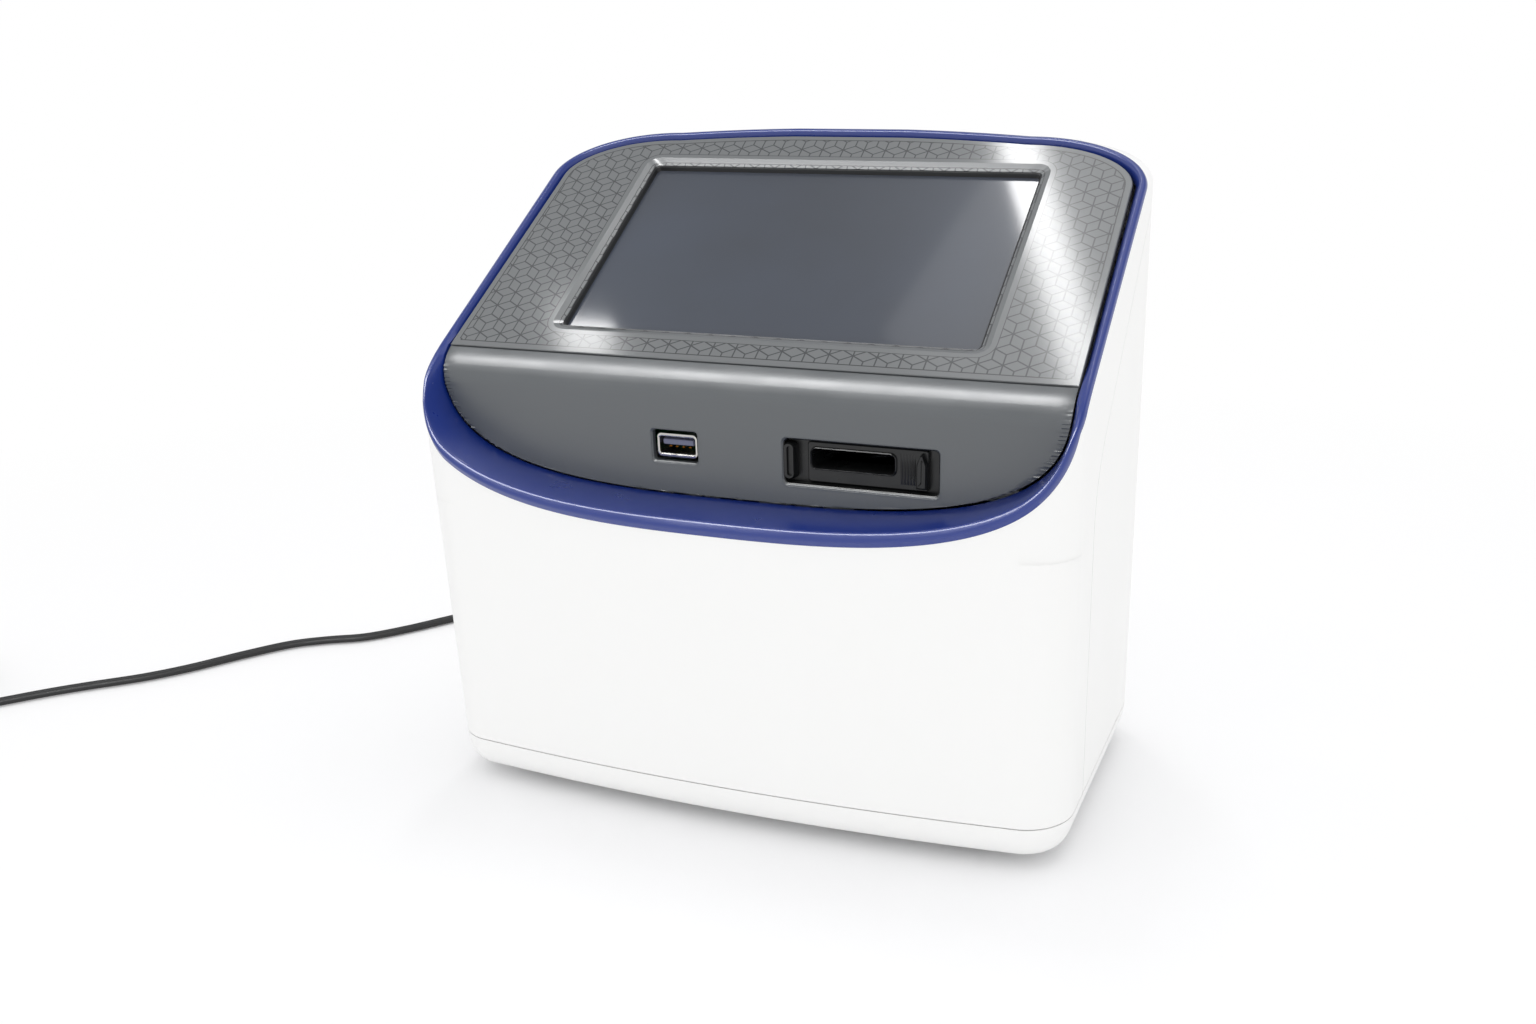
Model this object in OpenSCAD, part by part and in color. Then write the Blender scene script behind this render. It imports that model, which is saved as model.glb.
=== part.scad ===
// Benchtop automated cell counter: a moulded two-part housing on a base pan, a glossy rim round a
// sloped touchscreen face, an upright lower fascia with a slide port and a USB socket, and inside
// it an inverted fluorescence optical column with a cube changer and a motorised focus.
// Frame: +Z up, +Y to the rear, origin on the table under the middle of the housing.

/* [Housing] */
// Width of the housing at the base seam
body_w = 228.8; // [215:0.2:245]
// Depth from the nose of the rim to the rear wall
body_d = 140; // [136:1:150]
// Depth of the roof behind the rim's top edge
roof_depth = 11.6; // [10:0.2:16]
// Width lost on each side between the base seam and the roof
side_draft = 3.4; // [0:0.2:5]
// Lean of the front wall out over the base
front_lean = 3; // [0:0.5:5]
// Bow of the front wall between its corners
front_bow = 6.9; // [3:0.1:9]
// Radius of the two front corners
front_corner_r = 15; // [11:1:20]
// Radius of the two rear corners
rear_corner_r = 24; // [12:1:26]
// Radius of the roof's rear edge
roof_edge_r = 11; // [8:0.5:11.5]
// Width of the rounded shoulder at each end of the roof
shoulder_w = 44; // [34:1:50]
// Height of that rounded shoulder
shoulder_h = 14.6; // [10:0.2:18]
// Rise of the roof's middle over its shoulders
roof_crown = 2; // [0:0.2:4]
// Wall thickness of the mouldings
wall = 3; // [2.5:0.1:3.4]
// Width of the shadow gap between mouldings
seam_gap = 0.4; // [0.2:0.1:0.6]

/* [Base] */
// Height of the foot pads under the base pan
foot_h = 5; // [4:0.5:6]
// Diameter of a foot pad
foot_d = 16; // [12:1:20]
// Distance from the side wall to the middle of a foot
foot_side = 34.4; // [26:0.2:46]
// Distance from the front of the rim to the middle of a front foot
foot_front = 29; // [25:1:36]
// Distance from the rear wall to the middle of a rear foot
foot_rear = 21; // [18:1:30]
// Distance from a foot to its housing screw
screw_pitch = 20; // [17:1:30]
// Height of the seam between the base pan and the housing
base_seam_z = 16; // [15:0.5:18]
// Inset of the base pan's underside from the housing
base_tuck = 4; // [2:0.5:6]
// Thickness of the base pan's floor
base_floor = 2.5; // [2:0.5:3.5]

/* [Sloped face] */
// Slope of the touchscreen face from the horizontal
face_angle = 33; // [31:0.5:35]
// Radius of the rim's rounded nose below the screen
nose_r = 59; // [56:1:62]
// Height of the point where the nose turns upright
nose_z = 105.6; // [103:0.2:108]
// Place of the seam where the side walls part, behind the middle
side_seam_y = -30.5; // [-34:0.5:-27]
// Slope of the side seam above its bend
side_seam_angle = 44; // [40:1:48]
// Radius of the side seam's bend
side_seam_r = 42; // [36:1:48]

/* [Rim] */
// Width of the rim around the overlay
rim_w = 4.3; // [4:0.1:6]
// Thickness of the rim's lip over the housing edge
rim_t = 1.6; // [1.2:0.1:2.4]
// Wall of the rim's inner tub
tub_wall = 1.5; // [1.2:0.1:1.6]
// Height of the lower opening below the split line
tub_h = 43.6; // [41:0.2:44.5]
// Squareness of the lower opening's corners
tub_power = 3.1; // [2.5:0.1:3.6]
// Height of the lip between the lower opening and the front wall
lip_h = 5.6; // [4:0.2:7]

/* [Fascia] */
// Thickness of the overlay and of the lower fascia
fascia_t = 3; // [2.5:0.1:3.2]
// Step from the rim down to the overlay
fascia_step = 0.6; // [0.3:0.1:1]
// Gap round the fascia pieces
fascia_gap = 0.3; // [0.2:0.1:0.5]
// Radius of the bend at the top of the lower fascia
bend_r = 14.5; // [12:0.5:17]
// Width of the overlay on each side of the screen window
window_side = 31.5; // [28:0.1:34]
// Distance from the split line to the window
window_up = 11; // [9:0.5:13]
// Distance from the window to the rim's top edge
window_top = 16.6; // [14:0.1:20]
// Shift of the window from the middle of the housing
window_x = 1.6; // [-2:0.2:3]
// Width of the window's bevel
window_bevel = 3.4; // [2.5:0.1:4]
// Corner radius of the screen window
window_r = 5; // [3.5:0.5:7]

/* [Display] */
// Thickness of the touch glass
glass_t = 1.4; // [1:0.1:2]
// Overlap of the glass under the overlay on each side
glass_lap = 4; // [2:0.5:5]
// Thickness of the display module
display_t = 7; // [5:0.5:8]
// Thickness of the display carrier's sheet
carrier_t = 1.5; // [1:0.1:2]

/* [USB socket] */
// Place of the USB socket from the middle of the housing
usb_x = -21.5; // [-40:0.5:-16]
// Height of the USB socket's middle
usb_z = 128; // [127:0.5:130]
// Outer width of the socket's shell
usb_w = 13.1; // [13:0.05:13.2]
// Outer height of the socket's shell
usb_h = 5.7; // [5.6:0.05:5.8]
// Length of the socket's shell
usb_l = 14; // [12:0.5:16]
// Margin of the moulded recess round the shell
usb_margin = 1.7; // [1.2:0.1:2.4]

/* [Slide port] */
// Place of the slide port recess from the middle of the housing
port_x = 42.3; // [38:0.1:46]
// Height of the slide port recess's middle
port_z = 126.4; // [125:0.1:127.5]
// Width of the slide port recess
port_w = 52.2; // [50:0.2:56]
// Height of the slide port recess
port_h = 15.4; // [14.6:0.1:16]
// Depth of the recess behind the fascia's face
port_depth = 4; // [3.6:0.1:5]
// Width of the slide slot
slot_w = 27.4; // [26.2:0.1:28]
// Height of the slide slot
slot_h = 6; // [5.6:0.1:6.6]
// Offset of the slot from the middle of the recess
slot_dx = -3; // [-6:0.1:-2]
// Height of the slot's middle over the recess's middle
slot_dz = 1.2; // [0:0.1:1.5]
// Width of the plate round the slot
plate_w = 40; // [36:0.5:42]
// Thickness of the plate round the slot
plate_t = 1.5; // [1:0.1:2]
// Place of the plate from the middle of the recess
plate_dx = 1.7; // [0:0.1:3]
// Place of the curved guide from the middle of the recess
left_guide_dx = -25; // [-25:0.5:-20]
// Place of the pointed guide from the middle of the recess
right_guide_dx = 19.8; // [17:0.1:22]
// Thickness of the port insert's walls
port_wall = 1.2; // [1:0.1:1.6]

/* [Optical column] */
// Distance of the optical axis behind the fascia's face
axis_back = 28; // [26:0.5:30]
// Clearance at each end of the changer's travel
changer_gap = 3; // [2:0.5:4]
// Depth of the optics frame
frame_d = 90; // [84:1:94]
// Thickness of the frame's side plates
frame_t = 3; // [2.5:0.5:4]
// Thickness of the frame's deck and floor
deck_t = 4; // [3:0.5:5]
// Width of a light cube
cube_w = 28; // [26:0.5:29]
// Height of a light cube
cube_h = 32; // [28:0.5:33]
// Length of a light cube without its pull
cube_l = 74; // [68:0.5:76]
// Distance between the two light cubes, and the changer's travel
cube_pitch = 30; // [29.5:0.5:31]
// Diameter of the changer's two rails
rail_d = 5; // [4:0.5:6]
// Running clearance of a shaft in its bore, on the radius
run_fit = 0.05; // [0.02:0.01:0.09]
// Diameter of the objective's barrel
objective_d = 20; // [18:0.5:22]
// Travel of the focus each way
focus_travel = 2.5; // [2:0.5:3]
// Diameter of the focus actuator's shaft
actuator_d = 4; // [3:0.5:5]

/* [Electronics] */
// Margin of the chassis plate inside the housing's sides
chassis_side = 16.4; // [14:0.2:24]
// Margin of the chassis plate inside the front wall
chassis_front = 20; // [16:1:26]
// Margin of the chassis plate inside the rear wall
chassis_rear = 14; // [12:1:20]
// Clearance between the boards and the optics frame
board_gap = 5.3; // [3:0.1:8]
// Clearance between the main board and the power converter
supply_gap = 4; // [3:0.5:6]
// Depth of the power converter
supply_d = 22; // [18:1:24]
// Height of the power converter
supply_h = 18; // [14:1:22]
// Thickness of a circuit board
board_t = 1.6; // [1:0.2:2]
// Height of a board spacer
spacer_h = 8; // [5:1:12]
// Thickness of the chassis plate
chassis_t = 2; // [1.5:0.5:3]

/* [Rear panel] */
// Depth of the pocket that the switch and the inlet sit in
pocket_depth = 4.2; // [3:0.1:5]
// Margin of that pocket round the switch and the inlet
pocket_margin = 3; // [2:0.5:4]
// Place of the light cube door from the middle of the housing
door_x = 40; // [37:0.5:41]
// Width of the light cube door
door_w = 94; // [90:0.5:95]
// Height of the light cube door
door_h = 57; // [52:0.5:60]
// Height of the door's hinge axis
door_z = 48.5; // [46:0.5:52]
// Diameter of the door's hinge pins
door_pin_d = 1.8; // [1.4:0.1:2]
// Distance from the side wall to the middle of the power inlet
inlet_side = 40.4; // [38:0.2:46]
// Distance between the power inlet and the power switch
switch_pitch = 32; // [28:1:36]
// Height of the power switch and the power inlet
power_z = 40; // [36:0.5:46]
// Tilt of the rocker in each position
rocker_tilt = 8; // [6:0.5:9]

/* [Power lead] */
// Width of the flat twin lead
cord_w = 5.3; // [5:0.1:5.6]
// Thickness of the flat twin lead
cord_t = 3; // [2.6:0.1:3.3]

/* [Hidden] */
$fn = 48;
eps = 0.01;

half_w = body_w / 2;
front_y = -body_d / 2;
rear_y = body_d / 2;
roof_half_w = half_w - side_draft;
nose_y = front_y + nose_r;
// the split line is where the straight slope of the face meets the nose
split_y = nose_y - nose_r * sin(face_angle);
split_z = nose_z + nose_r * cos(face_angle);
// the slope climbs from the split line to the front of the roof
face_len = (rear_y - roof_depth - split_y) / cos(face_angle);
rim_top_z = split_z + face_len * sin(face_angle);
// roof_top is the height up to which the plan is drafted, just over the roof
roof_top = rim_top_z + 3;
// the front wall leans out by front_lean between the base seam and the nose
lean_rate = front_lean / (nose_z - base_seam_z);
front_low_y = front_y + front_lean;
front_high_y = front_low_y - lean_rate * (roof_top - base_seam_z);
// the lower opening leaves the rim's width inside the side walls at the split line
split_half_w = half_w - side_draft * (split_z - base_seam_z) / (roof_top - base_seam_z);
tub_half_w = split_half_w - rim_w;
window_w = 2 * (tub_half_w - window_side);
window_h = face_len - window_up - window_top;
wide = body_w + 40;

// ---------- outlines of the housing ----------

// Points on an arc about c from angle a0 to a1
function arc(c, r, a0, a1, n = 8) = [for (k = [0:n]) c + r * [cos(a0 + (a1 - a0) * k / n),
    sin(a0 + (a1 - a0) * k / n)]];

// The front edge's points are pulled back by the bow towards the corners
function bowed(p, w) = [p.x, p.y + (p.y < 0 ? front_bow * pow(p.x / w, 2) : 0)];

// Plan outline: round corners, bowed front, straight sides; w half width, f front, i inset
function plan_points(w, f, i) =
    let (h = w - i, y0 = f + i, y1 = rear_y - i, rf = max(front_corner_r - i, 1),
        rr = max(rear_corner_r - i, 1),
        p = concat(arc([h - rr, y1 - rr], rr, 0, 90), arc([-h + rr, y1 - rr], rr, 90, 180),
            arc([-h + rf, y0 + rf], rf, 180, 270),
            [for (k = [1:11]) [(-h + rf) * (1 - k / 6), y0]],
            arc([h - rf, y0 + rf], rf, 270, 360)))
    [for (q = p) bowed(q, h)];

// A thin slice of the plan at height z
module plan_slice(w, f, i, z) {
    translate([0, 0, z]) linear_extrude(eps) polygon(plan_points(w, f, i));
}

// The drafted prism of the walls between two heights
module plan_prism(i, z0, z1) {
    t0 = (z0 - base_seam_z) / (roof_top - base_seam_z);
    t1 = (z1 - base_seam_z) / (roof_top - base_seam_z);
    hull() {
        plan_slice(half_w - side_draft * t0, front_low_y + (front_high_y - front_low_y) * t0, i, z0);
        plan_slice(half_w - side_draft * t1, front_low_y + (front_high_y - front_low_y) * t1, i,
            z1 - eps);
    }
}

// Extrudes a side outline, drawn as [y, z], across the width
module across(w = wide) {
    rotate([90, 0, 90]) translate([0, 0, -w / 2]) linear_extrude(w) children();
}

// Side outline of the face: the nose's arc, the slope and the roof's rear edge, inset by i
module face_side(i) {
    r = nose_r - i;
    n = i * [sin(face_angle), -cos(face_angle)];
    top = [split_y, split_z] + n + (face_len + 40) * [cos(face_angle), sin(face_angle)];
    polygon(concat([[front_y - 30, 0], [front_y - 30, nose_z]],
        arc([nose_y, nose_z], r, 180, 90 + face_angle, 16), [top, [rear_y + 60, top.y],
        [rear_y + 60, 0]]));
}

// Side outline of the roof's rear edge, inset by i
module roof_side(i) {
    r = max(roof_edge_r - i, 1);
    polygon(concat([[front_y - 40, -1], [front_y - 40, rim_top_z - i]],
        arc([rear_y - i - r, rim_top_z - i - r], r, 90, 0, 8), [[rear_y - i, -1]]));
}

// Front outline of the roof: crowned middle and rounded shoulders, inset by i
module roof_front(i) {
    w = roof_half_w - i;
    sw = shoulder_w - i;
    sh = shoulder_h - min(i, shoulder_h / 3);
    z = rim_top_z - roof_crown - i;
    side = [for (k = [0:10]) [w - sw + sw * cos(9 * k), z - sh + sh * sin(9 * k)]];
    crown = [for (k = [1:7]) let (x = (w - sw) * (1 - k / 4)) [x,
        z + roof_crown * (1 - pow(x / (w - sw), 2))]];
    mirrored = [for (k = [10:-1:0]) [-side[k].x, side[k].y]];
    polygon(concat([[w + 30, -1], [w + 30, z - sh]], side, crown, mirrored, [[-w - 30, z - sh],
        [-w - 30, -1]]));
}

module along_depth() {
    rotate([90, 0, 0]) translate([0, 0, -wide / 2]) linear_extrude(wide) children();
}

// Solid block of the housing inset by i, with no face cut
module block(i, z0) {
    intersection() {
        plan_prism(i, z0, roof_top);
        across() roof_side(i);
        along_depth() roof_front(i);
    }
}

// Side outline of everything in front of and above the side seam, moved back by g
module front_region(g) {
    a = side_seam_angle;
    c = [side_seam_y + side_seam_r, nose_z];
    bend = arc(c, side_seam_r, 180, 90 + a, 8);
    end = bend[8] + 160 * [cos(a), sin(a)];
    translate([g, 0]) polygon(concat([[front_y - 40, 0], [side_seam_y, 0]], bend, [end,
        [front_y - 40, end.y]]));
}

// Lower half of a squared oval about the split line, drawn as [x, z], open at the top
module half_oval(a, b) {
    n = 2 / tub_power;
    polygon(concat([[a, split_z + 60], [a, split_z]], [for (k = [1:31]) let (t = k * 180 / 32) [
        a * (cos(t) < 0 ? -1 : 1) * pow(abs(cos(t)), n), split_z - b * pow(sin(t), n)]],
        [[-a, split_z], [-a, split_z + 60]]));
}

// Outline of the lower opening, grown by g
module tub_outline(g) {
    half_oval(tub_half_w + g, tub_h + g);
}

// Outline of the rim's lip on the front wall, kept inside the side walls' skin, shrunk by g
module lip_outline(g) {
    intersection() {
        half_oval(tub_half_w + rim_w - g, tub_h + lip_h - g);
        translate([-roof_half_w + g, 0]) square([2 * (roof_half_w - g), 2 * split_z]);
    }
}

// The part of a front outline's extrusion that lies in front of the split line
module at_front() {
    intersection() {
        along_depth() children();
        translate([-wide / 2, front_y - 20, 0]) cube([wide, split_y - front_y + 20, split_z + 20]);
    }
}

// Moves to the slope's own frame: X across, Y up the slope from the split line, Z off the face
module on_slope() {
    translate([0, split_y, split_z]) rotate([face_angle, 0, 0]) children();
}

module rounded(w, h, r) {
    x = w / 2 - r;
    y = h / 2 - r;
    polygon(concat(arc([x, y], r, 0, 90, 6), arc([-x, y], r, 90, 180, 6),
        arc([-x, -y], r, 180, 270, 6), arc([x, -y], r, 270, 360, 6)));
}

// ---------- housing mouldings ----------

module front_housing() {
    color("white") difference() {
        intersection() {
            block(0, base_seam_z + seam_gap);
            across() face_side(rim_t);
            across() front_region(0);
        }
        intersection() {
            plan_prism(wall, base_seam_z - 1, roof_top);
            across() roof_side(wall);
            along_depth() roof_front(wall);
        }
        at_front() lip_outline(0);
    }
}

module rear_housing() {
    jamb_z = door_z - 3.5;
    color("white") difference() {
        union() {
            difference() {
                block(0, base_seam_z + seam_gap);
                block(wall, base_seam_z - 1);
                across() front_region(seam_gap);
            }
            for (s = [-1, 1]) translate([door_x + s * (door_w / 2 + 3.3) - 3, rear_y - wall - 3.3,
                jamb_z]) cube([6, 3.3 + eps, 7]);
        }
        door_hole();
        for (s = [-1, 1]) translate([door_x + s * (door_w / 2 + 1.5) - 2.5, rear_y - wall / 2, door_z])
            rotate([0, 90, 0]) cylinder(d = door_pin_d + 2 * run_fit, h = 5);
        pocket(0, pocket_depth);
        around_switch(-switch_lip + fascia_gap, 40);
        around_inlet(-inlet_lip + fascia_gap, 40);
    }
    color("white") difference() {
        translate([0, -wall / 2, 0]) pocket(wall, pocket_depth + wall / 2);
        pocket(0, pocket_depth + eps);
        around_switch(-switch_lip + fascia_gap, 40);
        around_inlet(-inlet_lip + fascia_gap, 40);
    }
}

// Block round the switch's flange, grown by g, that ends at the rear wall; d is its depth
module around_switch(g, d) {
    translate([switch_x - switch_w / 2 - g, rear_y - d, power_z - switch_h / 2 - g])
        cube([switch_w + 2 * g, d + eps, switch_h + 2 * g]);
}

// The same round the power inlet's flange
module around_inlet(g, d) {
    translate([inlet_x - inlet_w / 2 - g, rear_y - d, power_z - inlet_h / 2 - g])
        cube([inlet_w + 2 * g, d + eps, inlet_h + 2 * g]);
}

// Block of the pocket for both, grown by g and d deep
module pocket(g, d) {
    x0 = inlet_x - inlet_w / 2 - pocket_margin - g;
    x1 = switch_x + switch_w / 2 + pocket_margin + g;
    h = switch_h + 2 * pocket_margin + 2 * g;
    translate([x0, rear_y - d, power_z - h / 2]) cube([x1 - x0, d + eps, h]);
}

module door_hole() {
    low = door_z - wall / 2 - fascia_gap;
    translate([door_x - door_w / 2, rear_y - wall - 4, low]) cube([door_w, wall + 8, door_h]);
}

module base_pan() {
    y0 = front_low_y;
    color("white") difference() {
        hull() {
            plan_slice(half_w, y0, 0, base_seam_z - eps);
            plan_slice(half_w, y0, base_tuck * 0.12, base_seam_z * 0.7);
            plan_slice(half_w, y0, base_tuck * 0.4, foot_h + 2.2);
            plan_slice(half_w, y0, base_tuck, foot_h);
        }
        translate([0, 0, foot_h + base_floor]) linear_extrude(base_seam_z)
            polygon(plan_points(half_w, y0, wall + base_tuck * 0.6));
        for (p = foot_places()) translate([p.x, p.y, foot_h - 1]) cylinder(d = foot_d + 0.4, h = 1.8);
        for (p = screw_places()) translate([p.x, p.y, foot_h - 1]) cylinder(d = 3.4, h = 10);
    }
}

foot_x = half_w - foot_side;
foot_ys = [front_y + foot_front, rear_y - foot_rear];
screw_x = foot_x - screw_pitch;

function foot_places() = [for (x = [-foot_x, foot_x], y = foot_ys) [x, y]];
function screw_places() = [for (x = [-screw_x, screw_x], y = foot_ys) [x, y]];

module feet() {
    color("dimgray") for (p = foot_places()) translate([p.x, p.y, 0]) rotate_extrude() polygon([[0, 0],
        [foot_d / 2 - 1, 0], [foot_d / 2, 1.2], [foot_d / 2, foot_h + 0.8], [0, foot_h + 0.8]]);
}

module base_screws() {
    color("silver") for (p = screw_places()) translate([p.x, p.y, 0]) {
        translate([0, 0, foot_h - 2]) cylinder(d = 6, h = 2);
        translate([0, 0, foot_h - eps]) cylinder(d = 3, h = base_floor + chassis_t - 0.2);
    }
}

// The upper rim lies on the housing's edge; below the split line a lip fills the housing's
// opening and the tub wall runs back from it to the fascia
module rim() {
    depth = fascia_step + fascia_t;
    panel_y = fascia_face_y() + fascia_t;
    color("mediumblue") {
        difference() {
            intersection() {
                block(0, split_z - tub_h / 2);
                across() face_side(0);
            }
            across() face_side(rim_t);
            opening(0);
        }
        difference() {
            intersection() {
                block(0, nose_z - 10);
                across() face_side(0);
                at_front() lip_outline(0);
            }
            block(wall, nose_z - 20);
            opening(0);
        }
        difference() {
            intersection() {
                along_depth() tub_outline(tub_wall);
                plan_prism(wall + 0.2, nose_z - 5, split_z);
                across() face_side(rim_t - eps);
                translate([-wide / 2, front_y - 10, 0]) cube([wide, panel_y - front_y + 10,
                    split_z]);
            }
            along_depth() tub_outline(0);
        }
        difference() {
            intersection() {
                block(wall + 0.2, split_z - 20);
                across() face_side(rim_t - eps);
                on_slope() translate([-wide / 2, 0, -depth]) cube([wide, face_len + 30, depth]);
            }
            opening(0);
        }
    }
}

// The whole hole inside the rim, grown by g: the tub below the split line and the overlay above
module opening(g) {
    intersection() {
        along_depth() tub_outline(g);
        translate([-wide / 2, front_y - 20, 0]) cube([wide, body_d, split_z + eps]);
    }
    on_slope() translate([0, 0, -30]) linear_extrude(60) {
        overlay_outline(g);
        translate([-tub_half_w - g, -1]) square([2 * (tub_half_w + g), 1 + eps]);
    }
}

// Overlay outline on the slope: straight tapering sides and wide rounded upper corners
module overlay_outline(g) {
    w = roof_half_w + side_draft * 0.28 - rim_w + g;
    top = face_len - rim_w + g;
    cw = shoulder_w - 2;
    ch = shoulder_h / sin(face_angle) - 1;
    crown = roof_crown / sin(face_angle);
    w_top = w - side_draft * 0.3;
    corner = [for (k = [0:10]) [w_top - cw + cw * cos(9 * k), top - crown - ch + ch * sin(9 * k)]];
    middle = [for (k = [1:7]) let (x = (w_top - cw) * (1 - k / 4)) [x,
        top - crown * pow(x / (w_top - cw), 2)]];
    polygon(concat([[tub_half_w + g, 0]], corner, middle, [for (k = [10:-1:0]) [-corner[k].x,
        corner[k].y]], [[-tub_half_w - g, 0]]));
}

// ---------- face ----------

module window_prism(grow, z0, z1) {
    translate([window_x, window_up + window_h / 2, z0]) linear_extrude(z1 - z0)
        rounded(window_w + 2 * grow, window_h + 2 * grow, window_r + grow);
}

module overlay() {
    color("dimgray") on_slope() difference() {
        translate([0, 0, -fascia_step - fascia_t]) linear_extrude(fascia_t)
            intersection() {
                overlay_outline(-fascia_gap);
                translate([-wide / 2, fascia_gap]) square([wide, face_len + 20]);
            }
        window_prism(-window_bevel, -20, 5);
        hull() {
            window_prism(0, -fascia_step, -fascia_step + 1);
            window_prism(-window_bevel, -fascia_step - fascia_t * 0.8,
                -fascia_step - fascia_t * 0.8 + eps);
        }
    }
}

module touch_glass() {
    color("darkslategray") on_slope() window_prism(glass_lap - window_bevel,
        -fascia_step - fascia_t - glass_t, -fascia_step - fascia_t);
}

module display_module() {
    color("silver") on_slope() window_prism(glass_lap - window_bevel - 2,
        -fascia_step - fascia_t - glass_t - display_t, -fascia_step - fascia_t - glass_t);
}

// Folded sheet tray that holds the display up against the overlay
module display_carrier() {
    low = -fascia_step - fascia_t - glass_t - display_t;
    color("gray") on_slope() difference() {
        union() {
            window_prism(glass_lap - window_bevel + carrier_t + 0.3, low - carrier_t,
                -fascia_step - fascia_t);
        }
        window_prism(glass_lap - window_bevel + 0.3, low, 0);
        translate([window_x - 40, window_up + window_h / 2 - 20, low - 5]) cube([80, 40, 10]);
    }
}

function fascia_face_y() = split_y + bend_r * sin(face_angle) - bend_r;

// Side outline of the lower fascia: a short slope, a tight bend and an upright panel
module fascia_side(i) {
    c = [split_y, split_z] + bend_r * [sin(face_angle), -cos(face_angle)];
    r = bend_r - i;
    polygon(concat([[c.x + 60, c.y + 60], [c.x - r * sin(face_angle) + 60,
        c.y + r * cos(face_angle) + 39]], arc(c, r, 90 + face_angle, 180, 10), [[c.x - r, 90],
        [c.x + 60, 90]]));
}

module lower_fascia() {
    color("dimgray") difference() {
        intersection() {
            difference() {
                across() fascia_side(fascia_step);
                across() fascia_side(fascia_step + fascia_t);
            }
            along_depth() tub_outline(-fascia_gap);
            on_slope_below();
        }
        usb_recess();
        translate([usb_x, 0, usb_z]) usb_bar(usb_w + 0.4, usb_h + 0.4, 60);
        translate([port_x, 0, port_z]) rotate([90, 0, 0]) linear_extrude(120) rounded(port_w,
            port_h, 2);
    }
}

// Everything below the split line's gap
module on_slope_below() {
    on_slope() translate([-wide / 2, -120, -120]) cube([wide, 120 - fascia_gap, 160]);
}

// A bar along Y in front of and behind the fascia
module usb_bar(w, h, l) {
    translate([-w / 2, fascia_face_y() - l / 2, -h / 2]) cube([w, l, h]);
}

module usb_recess() {
    y = fascia_face_y() + fascia_step;
    w = usb_w + 2 * usb_margin;
    h = usb_h + 3 * usb_margin;
    translate([usb_x, y, usb_z]) hull() {
        translate([-w / 2, -5, -h / 2]) cube([w, 5, h]);
        translate([-w / 2 + 0.8, 0, -h / 2 + 0.8]) cube([w - 1.6, 1.4, h - 1.6]);
    }
}

// ---------- ports ----------

usb_front = split_y + bend_r * sin(face_angle) - bend_r + fascia_step + 1.2;

module usb_shell() {
    color("silver") difference() {
        translate([usb_x - usb_w / 2, usb_front, usb_z - usb_h / 2]) cube([usb_w, usb_l, usb_h]);
        translate([usb_x - usb_w / 2 + 0.4, usb_front - 1, usb_z - usb_h / 2 + 0.4]) cube([usb_w
            - 0.8, usb_l, usb_h - 0.8]);
    }
}

module usb_tongue() {
    color("black") translate([usb_x - 5.5, usb_front + 0.6, usb_z + 0.3]) cube([11, usb_l - 1.6,
        1.8]);
}

// Small upright board that carries the socket, on two lugs behind the fascia
module usb_board() {
    y = usb_front + usb_l;
    back = fascia_face_y() + fascia_step + fascia_t;
    low = deck_z + fascia_gap;
    color("darkgreen") {
        translate([usb_x - 15, y, low]) cube([30, board_t, usb_z + 14 - low]);
        for (s = [-1, 1]) translate([usb_x + s * 12 - 2, back, usb_z + 8]) cube([4, y - back + eps, 4]);
    }
}

slot_x = port_x + slot_dx;
slot_z = port_z + slot_dz;
port_back = split_y + bend_r * sin(face_angle) - bend_r + fascia_step + port_depth;
axis_y = split_y + bend_r * sin(face_angle) - bend_r + axis_back;

// Black insert: the recess's floor and walls, with a channel that leads the slide to the stage
module slide_port() {
    y0 = fascia_face_y() + fascia_step + 0.4;
    w = port_w - 0.5;
    h = port_h - 0.5;
    channel = axis_y - objective_d / 2 - 4 - port_back;
    color("black") difference() {
        union() {
            difference() {
                translate([port_x, port_back + port_wall, port_z]) rotate([90, 0, 0])
                    linear_extrude(port_back + port_wall - y0) rounded(w, h, 1.8);
                translate([port_x, port_back, port_z]) rotate([90, 0, 0]) linear_extrude(20)
                    rounded(w - 2 * port_wall, h - 2 * port_wall, 1);
            }
            translate([port_x + plate_dx - plate_w / 2, port_back - plate_t, port_z - h / 2
                + port_wall - eps]) cube([plate_w, plate_t + eps, h - 2 * port_wall + 2 * eps]);
            translate([slot_x - slot_w / 2 - port_wall, port_back, slot_z - slot_h / 2 - port_wall])
                cube([slot_w + 2 * port_wall, channel, slot_h + 2 * port_wall]);
        }
        translate([slot_x, port_back + channel + 5, slot_z]) rotate([90, 0, 0])
            linear_extrude(channel + 10) rounded(slot_w, slot_h, 1.5);
    }
}

// Two guides that centre the slide: a rounded clip at the left end, a pointed post at the right
module slide_guides() {
    h = port_h - 2 * port_wall - 1.6;
    w = 3.4;
    color("black") {
        translate([port_x + left_guide_dx + w / 2 + 0.4, port_back, port_z]) rotate([90, 0, 0])
            linear_extrude(port_depth - fascia_gap) rounded(w - 0.6, h, 1.3);
        translate([port_x + right_guide_dx, port_back - plate_t, port_z]) rotate([90, 0, 0])
            linear_extrude(port_depth - plate_t - 0.6) polygon([[-w / 2, -h / 2], [w / 2, -h / 2],
                [w / 2, h / 2 - 3.4], [0.6, h / 2], [-0.6, h / 2], [-w / 2, h / 2 - 3.4]]);
    }
}

// ---------- frame and optics ----------

chassis_w = body_w - 2 * chassis_side;
chassis_d = body_d - chassis_front - chassis_rear;
chassis_y = front_y + chassis_front;
chassis_z = foot_h + base_floor;
frame_z = chassis_z + chassis_t;
changer_w = 2 * cube_pitch + 2;
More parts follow.
